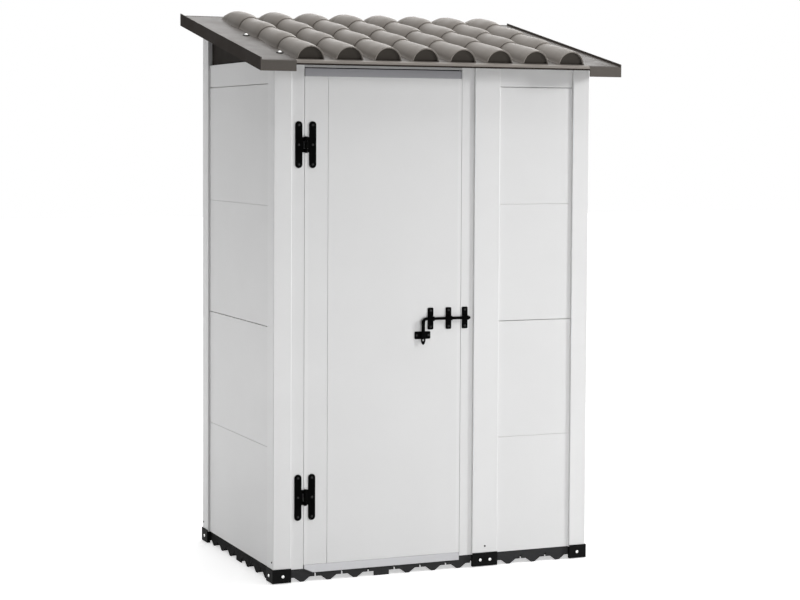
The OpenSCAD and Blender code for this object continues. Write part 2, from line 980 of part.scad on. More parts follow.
module knuckle_part(dir, h, root) {
    pin_y = hinge_y - plate_y;
    difference() {
        union() {
            translate([0, pin_y, 0]) cylinder(r = knuckle_r, h = h);
            translate([min(root * dir, 0), 0, 0])
                cube([root, knuckle_r + pin_y - 0.2, h]);
        }
        translate([0, pin_y, -1]) cylinder(r = pin_r + pin_fit, h = h + 2);
    }
}

module hinge_place(z) {
    translate([hinge_s, plate_y, z]) children();
}

module frame_leaf(z) {
    q = knuckle_h / 4;
    color(black) place() hinge_place(z)
        hinge_leaf(-1, [[-2 * q, -q - 0.3], [q + 0.3, 2 * q]]);
}

module door_leaf(z) {
    q = knuckle_h / 4;
    color(black) place() hinge_place(z) hinge_leaf(1, [[-q + 0.3, q - 0.3]]);
}

module hinge_upper_frame_leaf() {
    frame_leaf(hinge_high_z);
}

module hinge_upper_door_leaf() {
    door_leaf(hinge_high_z);
}

module hinge_lower_frame_leaf() {
    frame_leaf(hinge_low_z);
}

module hinge_lower_door_leaf() {
    door_leaf(hinge_low_z);
}

module hinge_pins() {
    head = 2;
    color(black) place()
        for (z = hinge_heights)
            translate([hinge_s, hinge_y, z - knuckle_h / 2 - head]) {
                cylinder(r = knuckle_r - 1.5, h = head);
                translate([0, 0, head]) cylinder(r = pin_r, h = knuckle_h);
                translate([0, 0, knuckle_h + head]) cylinder(r = knuckle_r - 1.5, h = head);
            }
}

module leaf_screw_places(dir) {
    for (z = hinge_heights)
        for (d = [-screw_span, 0, screw_span])
            translate([hinge_s + dir * hinge_reach, plate_y, z + d]) children();
}

module frame_leaf_screw_places() {
    leaf_screw_places(-1) children();
}

module door_leaf_screw_places() {
    leaf_screw_places(1) children();
}

// Bolt, keepers and hasp plate

module keeper_screw_places() {
    for (z = [-1, 1])
        translate([0, panel_inset - keeper_plate, bolt_z + z * (keeper_h / 2 - 10)]) children();
}

module keeper(s) {
    color(black) place() translate([s, 0, 0]) difference() {
        union() {
            translate([-keeper_w / 2, panel_inset - keeper_plate, bolt_z - keeper_h / 2])
                cube([keeper_w, keeper_plate, keeper_h]);
            translate([-keeper_w / 2, bolt_y, bolt_z]) rotate([0, 90, 0])
                cylinder(r = keeper_r, h = keeper_w);
        }
        translate([-keeper_w / 2 - 1, bolt_y, bolt_z]) rotate([0, 90, 0])
            cylinder(r = rod_r + rod_fit, h = keeper_w + 2);
        keeper_screw_places() screw_hole(keeper_plate + 1);
        translate([-keeper_w, panel_inset, bolt_z - keeper_h])
            cube([2 * keeper_w, board_t, 2 * keeper_h]);
    }
}

module keeper_inner() {
    keeper(inner_keeper_s);
}

module keeper_outer() {
    keeper(outer_keeper_s);
}

module keeper_jamb() {
    keeper(jamb_keeper_s);
}

module hasp_screw_places() {
    for (d = [-hasp_screw, hasp_screw])
        translate([bend_s + d, panel_inset - keeper_plate, hasp_z]) children();
}

module hasp_plate() {
    color(black) place() difference() {
        translate([bend_s - hasp_w / 2, panel_inset - keeper_plate, hasp_z - hasp_h / 2])
            cube([hasp_w, keeper_plate, hasp_h]);
        hasp_screw_places() screw_hole(keeper_plate + 1);
    }
}

module latch_screw_places() {
    for (s = [inner_keeper_s, outer_keeper_s])
        translate([s, 0, 0]) keeper_screw_places() children();
    hasp_screw_places() children();
}

module bolt_rod() {
    color(black) place()
        translate([rod_start_s, bolt_y, bolt_z]) rotate([0, 90, 0]) {
            cylinder(r = rod_r, h = rod_end_s - rod_start_s - 2);
            translate([0, 0, rod_end_s - rod_start_s - 2])
                cylinder(r1 = rod_r, r2 = rod_r - 1.5, h = 2);
        }
}

// The handle hangs from the bolt's end: a sleeve on the rod, a bend, a stem and a flat
// drop-shaped end with a hole for a padlock
module bolt_handle() {
    stem = handle_drop - bend_r - blade_h + 4;
    color(black) place() translate([bend_s, bolt_y, bolt_z]) {
        translate([bend_r, 0, -bend_r]) rotate([90, 0, 0])
            rotate([0, 0, 90]) rotate_extrude(angle = 90)
            translate([bend_r, 0]) circle(r = rod_r);
        difference() {
            translate([bend_r, 0, 0]) rotate([0, 90, 0])
                cylinder(r = rod_r + 1.5, h = sleeve_end_s - bend_s - bend_r);
            translate([bend_r + 0.6, 0, 0]) rotate([0, 90, 0])
                cylinder(r = rod_r + rod_fit, h = sleeve_end_s);
        }
        translate([0, 0, -bend_r - stem]) cylinder(r = rod_r, h = stem);
        difference() {
            translate([0, handle_t / 2, 0]) rotate([90, 0, 0]) linear_extrude(handle_t)
                handle_end();
            translate([0, -handle_t, handle_hole_z - bolt_z]) rotate([-90, 0, 0])
                cylinder(r = handle_hole_r, h = 2 * handle_t);
        }
    }
}

module handle_end() {
    hull() {
        translate([0, blade_r - handle_drop]) circle(r = blade_r, $fn = 32);
        translate([0, blade_h - handle_drop]) circle(r = rod_r, $fn = 32);
    }
}

module frame_screws() {
    color(black) place() {
        frame_leaf_screw_places() screw(4.5, 2, 14);
        translate([jamb_keeper_s, 0, 0]) keeper_screw_places() screw(4.5, 2, 14);
    }
}

module door_screws() {
    color(black) place() {
        door_leaf_screw_places() screw(4.5, 2, 14);
        latch_screw_places() screw(4.5, 2, 14);
    }
}

floor_tile(0, 0);  // floor_tile_front_left
floor_tile(1, 0);  // floor_tile_front_mid
floor_tile(2, 0);  // floor_tile_front_right
floor_tile(0, 1);  // floor_tile_rear_left
floor_tile(1, 1);  // floor_tile_rear_mid
floor_tile(2, 1);  // floor_tile_rear_right
post_front_left();
post_front_right();
post_rear_left();
post_rear_right();
mullion();
left_wall_lower();
left_wall_upper();
left_wall_top();
right_wall_lower();
right_wall_upper();
right_wall_top();
rear_wall_lower();
rear_wall_upper();
rear_wall_top();
front_panel_lower();
front_panel_upper();
front_panel_top();
jamb_left();
jamb_right();
door_header();
door_stops();
front_top_rails();
rear_top_rail();
roof_rafters();
gable_left();
gable_right();
roof_sheet();
roof_washers();
roof_screws();
bracket_front_left();
bracket_front_right();
bracket_rear_left();
bracket_rear_right();
bracket_mullion();
bracket_screws();
post_screws();
door_board_narrow();
door_board_wide();
door_top_channel();
door_bottom_strip();
door_edge_trims();
hinge_upper_frame_leaf();
hinge_upper_door_leaf();
hinge_lower_frame_leaf();
hinge_lower_door_leaf();
hinge_pins();
frame_screws();
door_screws();
keeper_inner();
keeper_outer();
keeper_jamb();
hasp_plate();
bolt_rod();
bolt_handle();
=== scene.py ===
import math
import bpy
import bmesh
from mathutils import Matrix, Vector


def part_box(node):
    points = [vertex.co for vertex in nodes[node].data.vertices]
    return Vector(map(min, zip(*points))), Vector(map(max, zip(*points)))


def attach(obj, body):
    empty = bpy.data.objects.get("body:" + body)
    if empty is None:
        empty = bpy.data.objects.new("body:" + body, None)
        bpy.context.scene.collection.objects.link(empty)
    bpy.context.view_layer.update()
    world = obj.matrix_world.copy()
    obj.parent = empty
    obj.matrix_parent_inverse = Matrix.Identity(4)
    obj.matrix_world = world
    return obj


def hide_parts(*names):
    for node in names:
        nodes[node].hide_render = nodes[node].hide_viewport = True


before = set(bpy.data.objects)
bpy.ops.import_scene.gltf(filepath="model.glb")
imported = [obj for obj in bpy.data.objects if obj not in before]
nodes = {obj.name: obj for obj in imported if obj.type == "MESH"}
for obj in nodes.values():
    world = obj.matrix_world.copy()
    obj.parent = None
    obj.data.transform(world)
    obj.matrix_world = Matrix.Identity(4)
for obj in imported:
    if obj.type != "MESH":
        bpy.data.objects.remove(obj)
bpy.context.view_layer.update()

MM = 0.001
scene = bpy.context.scene


# Places taken from the frame

def box(name):
    low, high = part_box(name)
    return Vector(low), Vector(high)


LEFT = box("post_front_left")[0].x
RIGHT = box("post_front_right")[1].x
ROOF_LOW, ROOF_HIGH = box("roof_sheet")

# The posts end just under the roof sheet, so their highest corners give its slope
front_top = box("post_front_left")[1]
rear_top = box("post_rear_left")[1]
SLOPE = (rear_top.z - front_top.z) / (rear_top.y - front_top.y)
PITCH = math.atan(SLOPE)
SHEET_T = 3 * MM
SHEET_DROP = SHEET_T / math.cos(PITCH)
SKIRT = 38 * MM


def roof_under(y):
    return front_top.z + SLOPE * (y - front_top.y)


def roof_top(y):
    """Height of the sheet's upper face; its skirt hangs down from there at the front."""
    return ROOF_LOW.z + SKIRT + SLOPE * (y - ROOF_LOW.y)


# Materials

def node_material(name):
    mat = bpy.data.materials.new(name)
    mat.use_nodes = True
    tree = mat.node_tree
    return mat, tree, tree.nodes["Principled BSDF"]


def object_coords(tree, scale=(1, 1, 1)):
    coord = tree.nodes.new("ShaderNodeTexCoord")
    mapping = tree.nodes.new("ShaderNodeMapping")
    mapping.inputs["Scale"].default_value = scale
    tree.links.new(coord.outputs["Object"], mapping.inputs["Vector"])
    return mapping.outputs["Vector"]


def noise(tree, vector, scale, detail=3.0):
    tex = tree.nodes.new("ShaderNodeTexNoise")
    tex.inputs["Scale"].default_value = scale
    tex.inputs["Detail"].default_value = detail
    tree.links.new(vector, tex.inputs["Vector"])
    return tex.outputs["Fac"]


def spread(tree, value, low, high):
    """Maps the middle of a noise's range onto low to high."""
    ranged = tree.nodes.new("ShaderNodeMapRange")
    ranged.inputs["From Min"].default_value = 0.3
    ranged.inputs["From Max"].default_value = 0.7
    ranged.inputs["To Min"].default_value = low
    ranged.inputs["To Max"].default_value = high
    tree.links.new(value, ranged.inputs["Value"])
    return ranged.outputs["Result"]


def tint(tree, base, factor):
    """The base colour, multiplied by a grey factor."""
    mix = tree.nodes.new("ShaderNodeMix")
    mix.data_type = "RGBA"
    mix.blend_type = "MULTIPLY"
    mix.inputs["Factor"].default_value = 1
    mix.inputs["A"].default_value = (*base, 1)
    tree.links.new(factor, mix.inputs["B"])
    return mix.outputs["Result"]


def bump(tree, height, distance, strength=1.0):
    node = tree.nodes.new("ShaderNodeBump")
    node.inputs["Distance"].default_value = distance
    node.inputs["Strength"].default_value = strength
    tree.links.new(height, node.inputs["Height"])
    return node.outputs["Normal"]


def plastic(name, base, roughness, mottle=0.03, grain=900, grain_depth=0.03, specular=0.5):
    """Moulded plastic: faint large mottling, and a fine grain. It serves painted steel and
    rubber too, which differ only in their numbers."""
    cloud_scale = 3.5
    rough_scale = 14
    rough_range = 0.05
    mat, tree, shader = node_material(name)
    coords = object_coords(tree)
    clouds = noise(tree, coords, cloud_scale)
    fine = noise(tree, coords, grain)
    colour = tint(tree, base, spread(tree, clouds, 1 - mottle, 1))
    tree.links.new(colour, shader.inputs["Base Color"])
    patches = noise(tree, coords, rough_scale)
    rough = spread(tree, patches, roughness - rough_range, roughness + rough_range)
    tree.links.new(rough, shader.inputs["Roughness"])
    tree.links.new(bump(tree, fine, grain_depth * MM), shader.inputs["Normal"])
    shader.inputs["Specular IOR Level"].default_value = specular
    return mat


def brushed_metal(name, base, roughness, stretch):
    """Drawn or plated metal with fine lines along one direction."""
    line_scale = 60
    line_depth = 0.02 * MM
    mat, tree, shader = node_material(name)
    coords = object_coords(tree, stretch)
    lines = noise(tree, coords, line_scale, 4)
    colour = tint(tree, base, spread(tree, lines, 0.9, 1))
    tree.links.new(colour, shader.inputs["Base Color"])
    rough = spread(tree, lines, roughness - 0.06, roughness + 0.08)
    tree.links.new(rough, shader.inputs["Roughness"])
    tree.links.new(bump(tree, lines, line_depth), shader.inputs["Normal"])
    shader.inputs["Metallic"].default_value = 1
    return mat


WHITE = plastic("white_boards", (0.72, 0.72, 0.72), 0.45, mottle=0.02, grain=1400)
# Painted shade: the header is white like the boards, and this grey stands for the shadow of the roof's
# lip
HEADER_SHADE = plastic("header_painted_shade", (0.42, 0.42, 0.42), 0.45, mottle=0.02, grain=1400)
POST_WHITE = plastic("white_posts", (0.74, 0.74, 0.74), 0.42, mottle=0.015, grain=1400)


def roof_plastic(name, base, roughness, specular):
    return plastic(name, base, roughness, mottle=0.10, grain=700, grain_depth=0.05, specular=specular)


ROOF = roof_plastic("roof_tiles_brown", (0.262, 0.238, 0.215), 0.55, 0.22)
ROOF_SHEET = roof_plastic("roof_sheet_brown", (0.075, 0.065, 0.057), 0.5, 0.14)
# Painted light: a lighter copy of the roof brown for the front skirt, standing for the light it catches
# from the front
ROOF_FRONT_LIT = roof_plastic("roof_front_painted_light", (0.104, 0.093, 0.083), 0.55, 0.14)
# Painted shade: a darker copy of the roof brown, for the outer sides of the skirts and the strip under
# the lip
ROOF_SHADE = roof_plastic("roof_brown_painted_shade", (0.026, 0.021, 0.018), 0.7, 0.04)
# Painted shade: a darker copy of the roof brown for the recessed wall in each tile row's mouth
MOUTH_SHADE = roof_plastic("roof_mouth_painted_shade", (0.060, 0.053, 0.046), 0.7, 0.04)
# Painted shade: the gables are a darker copy of the roof brown, for sides the key lamp misses
GABLE_SHADE = plastic("gable_brown_painted_shade", (0.016, 0.013, 0.011), 0.7, mottle=0.1, specular=0.04)


def floor_plastic(name, base, roughness, specular):
    return plastic(name, base, roughness, mottle=0.12, grain=800, grain_depth=0.08, specular=specular)


FLOOR = floor_plastic("floor_grey", (0.036, 0.036, 0.037), 0.55, 0.05)
# Painted shade: a blacker copy of the floor grey for the faces that look away from the key lamp
FLOOR_SHADE_SIDE = floor_plastic("floor_painted_shade", (0.004, 0.004, 0.004), 0.6, 0.02)
BRACKET = plastic("bracket_black", (0.008, 0.008, 0.008), 0.55, mottle=0.1, specular=0.03)
BLACK = plastic("black_steel", (0.0016, 0.0016, 0.0016), 0.5, mottle=0.15, grain=1600, specular=0.012)
BLACK_SCREW = plastic("black_screws", (0.006, 0.006, 0.006), 0.4, mottle=0.15, grain=1600, specular=0.2)
# Painted shade: black for the cross recess in screw heads, drawn as flat bars
RECESS_SHADE = plastic("recess_painted_shade", (0.01, 0.01, 0.01), 0.7)
ALUMINIUM = brushed_metal("aluminium", (0.44, 0.44, 0.45), 0.5, (1, 40, 40))
# Painted shade: a darker copy of the aluminium for the door's top channel, in the shadow of the roof's
# lip
CHANNEL_SHADE = brushed_metal("channel_painted_shade", (0.21, 0.21, 0.22), 0.5, (1, 40, 40))
DRIP_STRIP = brushed_metal("strip_aluminium", (0.36, 0.36, 0.37), 0.5, (1, 40, 40))
# Rubber for the roof washers, and painted shade on the header's underside and the door stops' top, where
# the gap over the door is in shade
RUBBER_AND_GAP_SHADE = plastic("rubber_black_and_gap_shade", (0.010, 0.009, 0.008), 0.65, mottle=0.1, specular=0.15)
ZINC = brushed_metal("zinc", (0.82, 0.82, 0.81), 0.4, (8, 8, 8))


# Mesh helpers

WELD_DISTANCE = 0.01 * MM

# How far along an axis the normal of a face has to point for the face to look that way
LOOKS_ALONG = 0.9

drawn = []


def add_mesh(name, verts, faces, material, body, replaced=(), sharp=35):
    """A drawn piece, smooth except where its faces meet at more than sharp degrees."""
    mesh = bpy.data.meshes.new(name)
    mesh.from_pydata([tuple(v) for v in verts], [], faces)
    work = bmesh.new()
    work.from_mesh(mesh)
    bmesh.ops.remove_doubles(work, verts=work.verts, dist=0.1 * WELD_DISTANCE)
    bmesh.ops.recalc_face_normals(work, faces=work.faces)
    work.to_mesh(mesh)
    work.free()
    mesh.polygons.foreach_set("use_smooth", [True] * len(mesh.polygons))
    mesh.set_sharp_from_angle(angle=math.radians(sharp))
    mesh.materials.append(material)
    piece = bpy.data.objects.new(name, mesh)
    scene.collection.objects.link(piece)
    finish_piece(piece, body, replaced)
    drawn.append(piece)
    return piece


def finish_piece(piece, body, replaced=()):
    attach(piece, body)
    if replaced:
        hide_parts(*replaced)


def even_shading(piece):
    """Large flat faces keep their own normals where a rounded edge meets them."""
    mod = piece.modifiers.new("even shading", "WEIGHTED_NORMAL")
    mod.keep_sharp = True
    mod.weight = 100


def bevel(piece, width, segments=3, angle=40):
    mod = piece.modifiers.new("rounded edges", "BEVEL")
    mod.width = width
    mod.segments = segments
    mod.limit_method = "ANGLE"
    mod.angle_limit = math.radians(angle)
    mod.harden_normals = True
    mod.use_clamp_overlap = True


def paint(piece, material, chosen):
    """Gives a material to the faces of a piece that chosen(face) picks."""
    index = len(piece.data.materials)
    piece.data.materials.append(material)
    for face in piece.data.polygons:
        if chosen(face):
            face.material_index = index


def placed(axis, along, point):
    """A point of an outline, at a distance along the axis it is drawn out on."""
    a, b = point
    if axis == "x":
        return Vector((along, a, b))
    if axis == "y":
        return Vector((a, along, b))
    return Vector((a, b, along))


def prism(outline, axis, start, end):
    """Verts and faces of an outline drawn out along an axis. start and end are numbers,
    or functions of the outline's point."""
    count = len(outline)
    verts = []
    for limit in (start, end):
        for point in outline:
            along = limit(point) if callable(limit) else limit
            verts.append(placed(axis, along, point))
    faces = [[i, (i + 1) % count, count + (i + 1) % count, count + i] for i in range(count)]
    faces.append(list(range(count - 1, -1, -1)))
    faces.append(list(range(count, 2 * count)))
    return verts, faces


def joined(parts):
    """Several (verts, faces) pairs as one."""
    verts = []
    faces = []
    for more_verts, more_faces in parts:
        base = len(verts)
        verts += more_verts
        faces += [[base + i for i in face] for face in more_faces]
    return verts, faces


def arc(centre, radius, start, end, steps):
    """Points of an arc, angles in degrees."""
    points = []
    for i in range(steps + 1):
        turn = math.radians(start + (end - start) * i / steps)
        points.append((centre[0] + radius * math.cos(turn), centre[1] + radius * math.sin(turn)))
    return points


def rounded_rect(low, high, radius, steps=4):
    (x0, y0), (x1, y1) = low, high
    return (
        arc((x1 - radius, y1 - radius), radius, 0, 90, steps)
        + arc((x0 + radius, y1 - radius), radius, 90, 180, steps)
        + arc((x0 + radius, y0 + radius), radius, 180, 270, steps)
        + arc((x1 - radius, y0 + radius), radius, 270, 360, steps)
    )


def turned(profile, origin, axis, segments=28):
    """Verts and faces of a closed (radius, height) profile turned about an axis."""
    axis = Vector(axis).normalized()
    side = axis.orthogonal().normalized()
    other = axis.cross(side)
    verts = []
    for i in range(segments):
        turn = 2 * math.pi * i / segments
        out = side * math.cos(turn) + other * math.sin(turn)
        verts += [Vector(origin) + out * r + axis * h for r, h in profile]
    count = len(profile)
    faces = []
    for i in range(segments):
        a = i * count
        b = (i + 1) % segments * count
        faces += [[a + j, a + j + 1, b + j + 1, b + j] for j in range(count - 1)]
    return verts, faces


def slab(x0, x1, y0, y1, rise, drop):
    """A slab parallel to the roof with upright ends, as in the part's source."""
    outline = [
        (y0, roof_top(y0) - drop),
        (y1, roof_top(y1) - drop),
        (y1, roof_top(y1) + rise),
        (y0, roof_top(y0) + rise),
    ]
    return prism(outline, "x", x0, x1)


def carve(piece, cutters):
    """Cuts each (verts, faces) solid out of the piece."""
    for verts, faces in cutters:
        mesh = bpy.data.meshes.new("cutter")
        mesh.from_pydata([tuple(v) for v in verts], [], faces)
        work = bmesh.new()
        work.from_mesh(mesh)
        bmesh.ops.recalc_face_normals(work, faces=work.faces)
        work.to_mesh(mesh)
        work.free()
        cutter = bpy.data.objects.new("cutter", mesh)
        scene.collection.objects.link(cutter)
        mod = piece.modifiers.new("cut", "BOOLEAN")
        mod.operation = "DIFFERENCE"
        mod.solver = "EXACT"
        mod.object = cutter
        bpy.context.view_layer.update()
        graph = bpy.context.evaluated_depsgraph_get()
        result = bpy.data.meshes.new_from_object(piece.evaluated_get(graph))
        piece.modifiers.clear()
        old = piece.data
        piece.data = result
        result.name = old.name
        bpy.data.meshes.remove(old)
        bpy.data.objects.remove(cutter)
        bpy.data.meshes.remove(mesh)


def dress(name, material, width=0.0, segments=2):
    """A CAD node keeps its shape and gets a material and rounded edges."""
    node = nodes[name]
    node.data.materials.clear()
    node.data.materials.append(material)
    if width:
        weld = node.modifiers.new("weld", "WELD")
        weld.merge_threshold = WELD_DISTANCE
        bevel(node, width, segments)
    return node


# Roof

RIM = 8 * MM
REAR_RIM = 1 * MM
EDGE = 4 * MM
LIP = 10 * MM
LIP_START = 128 * MM
# Height of a dark strip under the front lip, which paints the shade along its lower edge
LIP_SHADE_DROP = 6 * MM
BARREL_R = 52 * MM
BARREL_TOP = 44 * MM
BARREL_NECK = BARREL_R - 4.6 * MM
BARREL_SINK = 4 * MM
BARREL_WALL = 3 * MM
BARREL_FRONT = 30 * MM
BARREL_BACK = 14 * MM
BARREL_SIDE = 109.5 * MM
BARREL_COLUMNS = 8
BARREL_TILES = 4
TAIL = 44 * MM
DOME_LENGTH = 110 * MM
BEND = 2.6 * MM
BEND_LENGTH = 14 * MM
ROOF_LENGTH = (ROOF_HIGH.y - ROOF_LOW.y) / math.cos(PITCH)
ROW_LENGTH = ROOF_LENGTH - BARREL_FRONT - BARREL_BACK
TILE_LENGTH = (ROW_LENGTH - TAIL) / BARREL_TILES
DOME_START = ROW_LENGTH - DOME_LENGTH


def build_roof_tray():
    """The sheet with its skirt, raised rim and front lip, open under each row of tiles."""
    over = 1 * MM
    edge_radius = 1.7 * MM
    x0, x1 = ROOF_LOW.x, ROOF_HIGH.x
    y0, y1 = ROOF_LOW.y, ROOF_HIGH.y
    verts, faces = slab(x0, x1, y0, y1, RIM, SKIRT)
    tray = add_mesh("roof_tray", verts, faces, ROOF_SHEET, "frame", ["roof_sheet"])
    cutters = [
        slab(x0 + EDGE, x1 - EDGE, y0 + EDGE, y1 - EDGE, -SHEET_DROP, SKIRT + over),
        sheet_face(x0 + EDGE, x1 - EDGE, y0 - over, y1 - EDGE, RIM + over),
        rear_rim_face(x0 + EDGE, x1 - EDGE, y1 + over, RIM + over),
        slab(x0 + LIP_START, x1 - LIP_START, y0 - over, y0 + EDGE * 1.01, -LIP, SKIRT + over),
    ]
    half = BARREL_TOP - 3 * BARREL_WALL
    behind_mouth = on_roof(0, BARREL_FRONT + 4 * BARREL_WALL, 0).y
    before_dome = on_roof(0, BARREL_FRONT + DOME_START + DOME_LENGTH / 2, 0).y
    for centre in barrel_centres():
        cutters.append(slab(
            centre - half, centre + half, behind_mouth, before_dome, over, 2 * SHEET_DROP))
    carve(tray, cutters)
    lip_end = ROOF_HIGH.x - LIP_START
    for x in (over - lip_end, lip_end - over):
        split_across(tray, x)
    tray.data.polygons.foreach_set("use_smooth", [True] * len(tray.data.polygons))
    shade_tray(tray, lip_end)
    bevel(tray, edge_radius, 3)
    build_lip_shade_strip(lip_end)


def build_lip_shade_strip(lip_end):
    """A dark strip under the front lip, inside the thickness of the skirt: painted shade along the lip's
    lower edge.
    """
    inset = 1 * MM
    y0 = ROOF_LOW.y + inset
    y1 = ROOF_LOW.y + EDGE - 0.5 * MM
    verts, faces = slab(inset - lip_end, lip_end - inset, y0, y1, inset - LIP, LIP + LIP_SHADE_DROP)
    add_mesh("roof_lip_shade_strip", verts, faces, ROOF_SHADE, "frame")


def split_across(piece, x):
    """Divides the faces that cross a plane of constant x, without changing the shape."""
    work = bmesh.new()
    work.from_mesh(piece.data)
    bmesh.ops.bisect_plane(
        work, geom=work.verts[:] + work.edges[:] + work.faces[:], plane_co=(x, 0, 0), plane_no=(1, 0, 0))
    work.to_mesh(piece.data)
    work.free()


def shade_tray(tray, lip_end):
    """Painted light and shade on the tray: the outer faces of the side skirts are painted darker than
    the sheet, as shade on the sides the key lamp misses. The front skirt is painted a little lighter
    than it, as front light, and the lip and the border over it lighter again, as a painted highlight on
    the front edge."""
    def shaded_side(face):
        return abs(face.center.x) > ROOF_HIGH.x - MM and abs(face.normal.x) > LOOKS_ALONG

    def front(face):
        return face.center.y < ROOF_LOW.y + MM and face.normal.y < -LOOKS_ALONG

    def lip(face):
        border = face.center.y < ROOF_LOW.y + BEND_LENGTH and face.normal.z > 0.5
        return abs(face.center.x) < lip_end and (front(face) or border)

    # Painted shade on the outer sides of the skirts
    paint(tray, ROOF_SHADE, shaded_side)
    # Painted light on the front skirt
    paint(tray, ROOF_FRONT_LIT, front)
    # Painted highlight: the lip and the border over it take the lighter tile brown
    paint(tray, ROOF, lip)


def rear_rim_face(x0, x1, y1, rise):
    """What is cut away over the low rim along the back."""
    y0 = ROOF_HIGH.y - 2 * EDGE
    outline = [
        (y0, roof_top(y0) + REAR_RIM), (y1, roof_top(y1) + REAR_RIM),
        (y1, roof_top(y1) + rise), (y0, roof_top(y0) + rise),
    ]
    return prism(outline, "x", x0, x1)


def sheet_face(x0, x1, y0, y1, rise):
    """What is cut away over the sheet, whose front border bends down a little."""
    outline = []
    steps = 7
    for i in range(steps + 1):
        back = BEND_LENGTH * i / steps
        y = ROOF_LOW.y + back
        outline.append((y, roof_top(y) - BEND * (1 - back / BEND_LENGTH) ** 2))
    outline.insert(0, (y0, outline[0][1]))
    outline += [(y1, roof_top(y1)), (y1, roof_top(y1) + rise), (y0, roof_top(y0) + rise)]
    return prism(outline, "x", x0, x1)


def on_roof(x, up, out):
    """A point of the roof's own plane: up the slope from the front edge, and out of it."""
    y = ROOF_LOW.y + up * math.cos(PITCH) - out * math.sin(PITCH)
    z = roof_top(ROOF_LOW.y) + up * math.sin(PITCH) + out * math.cos(PITCH)
    return Vector((x, y, z))


def barrel_centres():
    first = LEFT + BARREL_SIDE
    last = RIGHT - BARREL_SIDE
    step = (last - first) / (BARREL_COLUMNS - 1)
    return [first + i * step for i in range(BARREL_COLUMNS)]


def tile_radius(share):
    """Radius of a tile's body at a share of its length: it swells behind the front edge
    and then draws in towards the next tile."""
    swell_end = 0.2
    if share < swell_end:
        ease = (1 - math.cos(share / swell_end * math.pi)) / 2
        return BARREL_NECK + (BARREL_R - BARREL_NECK) * ease
    ease = (share - swell_end) / (1 - swell_end)
    return BARREL_R + (BARREL_TOP - BARREL_R) * (1 - math.cos(ease * math.pi)) / 2


def tile_body(start):
    """Points along a tile's body, behind the bead at its front edge."""
    first = 0.05
    count = 14
    shares = [first + (1 - first) * i / count for i in range(count + 1)]
    return [(start + share * TILE_LENGTH, tile_radius(share)) for share in shares]


def tile_joint(start):
    """The rear edge of a tile, which dips, then the low bead along the front edge of the
    next tile, and the groove behind it."""
    crest = BARREL_NECK + 0.5 * MM
    groove = BARREL_NECK - 0.9 * MM
    return [
        (start - 2 * MM, BARREL_TOP - 0.2 * MM),
        (start - 0.6 * MM, BARREL_TOP - 1.2 * MM),
        (start, groove),
        (start + 0.6 * MM, BARREL_NECK - 0.1 * MM),
        (start + 1.8 * MM, crest),
        (start + 3.6 * MM, crest),
        (start + 4.8 * MM, BARREL_NECK - 0.2 * MM),
        (start + 5.6 * MM, groove),
        (start + 7.2 * MM, groove),
        (start + 8.6 * MM, BARREL_NECK),
    ]


def barrel_outer():
    """Upper outline of a row from the mouth's rim to the end, as (up the slope, half its
    width at the axis, height over the axis)."""
    rim = 1.5 * MM
    before_joint = 5 * MM
    points = arc((rim, BARREL_R - 2 * rim), rim, 180, 90, 4)
    for i in range(BARREL_TILES):
        start = i * TILE_LENGTH
        body = tile_body(start)
        if i:
            points += tile_joint(start)
        else:
            body = [point for point in body if point[1] > BARREL_R - rim]
        if i < BARREL_TILES - 1:
            body[-1] = (start + TILE_LENGTH - before_joint, BARREL_TOP)
        points += [point for point in body if point[0] < DOME_START]
    outline = [(up, radius, radius) for up, radius in points]
    steps = 18
    for i in range(steps + 1):
        share = i / steps
        width = BARREL_TOP * math.sqrt(1 - share ** 5)
        height = BARREL_SINK + (BARREL_TOP - BARREL_SINK) * math.cos(share * math.pi / 2)
        outline.append((DOME_START + share * DOME_LENGTH, width, height))
    return outline


def barrel_inner():
    """Inner outline of a row, from its end back to the recessed wall behind the mouth."""
    wall = BARREL_WALL
    cap = 5 * MM
    mouth_r = BARREL_R - 6 * MM
    points = []
    steps = 8
    for i in range(steps + 1):
        turn = math.radians(90 - 90 * i / steps)
        along = DOME_START + (DOME_LENGTH - 4 * wall) * math.sin(turn)
        points.append((along, (BARREL_TOP - 2 * wall) * math.cos(turn) ** 1.5))
    for i in range(BARREL_TILES - 1, 0, -1):
        start = i * TILE_LENGTH + wall
        points += [(start, BARREL_R - 2 * wall), (start, BARREL_TOP - wall)]
    points += [
        (cap + wall, BARREL_R - 3 * wall), (cap + wall, 0),
        (cap, 0), (cap, mouth_r - 2 * MM), (cap - 0.6 * MM, mouth_r - 0.6 * MM),
        (cap - 2 * MM, mouth_r), (1.2 * MM, mouth_r + 0.3 * MM),
    ]
    return [(up, radius, radius) for up, radius in points]


def barrel_section(width, height, outer, columns):
    """Points across a row at one place, as (sideways, out of the sheet). The outer face
    runs out onto the sheet in a small fillet."""
    floor = -1 * MM
    foot = 3 * MM
    sunk = min(BARREL_SINK / max(height, BARREL_SINK), 1)
    start = math.asin(min((BARREL_SINK + 2 * MM) / max(height, foot), 1)) if outer else 0
    half = width * math.sqrt(1 - sunk ** 2)
    points = []
    for i in range(columns + 1):
        turn = start + (math.pi - 2 * start) * i / columns
        out = max(height * math.sin(turn) - BARREL_SINK, floor)
        points.append((-width * math.cos(turn), out))
    if outer:
        points[0] = (-half - 0.5 * foot, 0.2 * foot)
        points[-1] = (half + 0.5 * foot, 0.2 * foot)
        points = [(-half - foot, floor)] + points + [(half + foot, floor)]
    else:
        points = [(points[0][0], floor)] + points + [(points[-1][0], floor)]
    return points


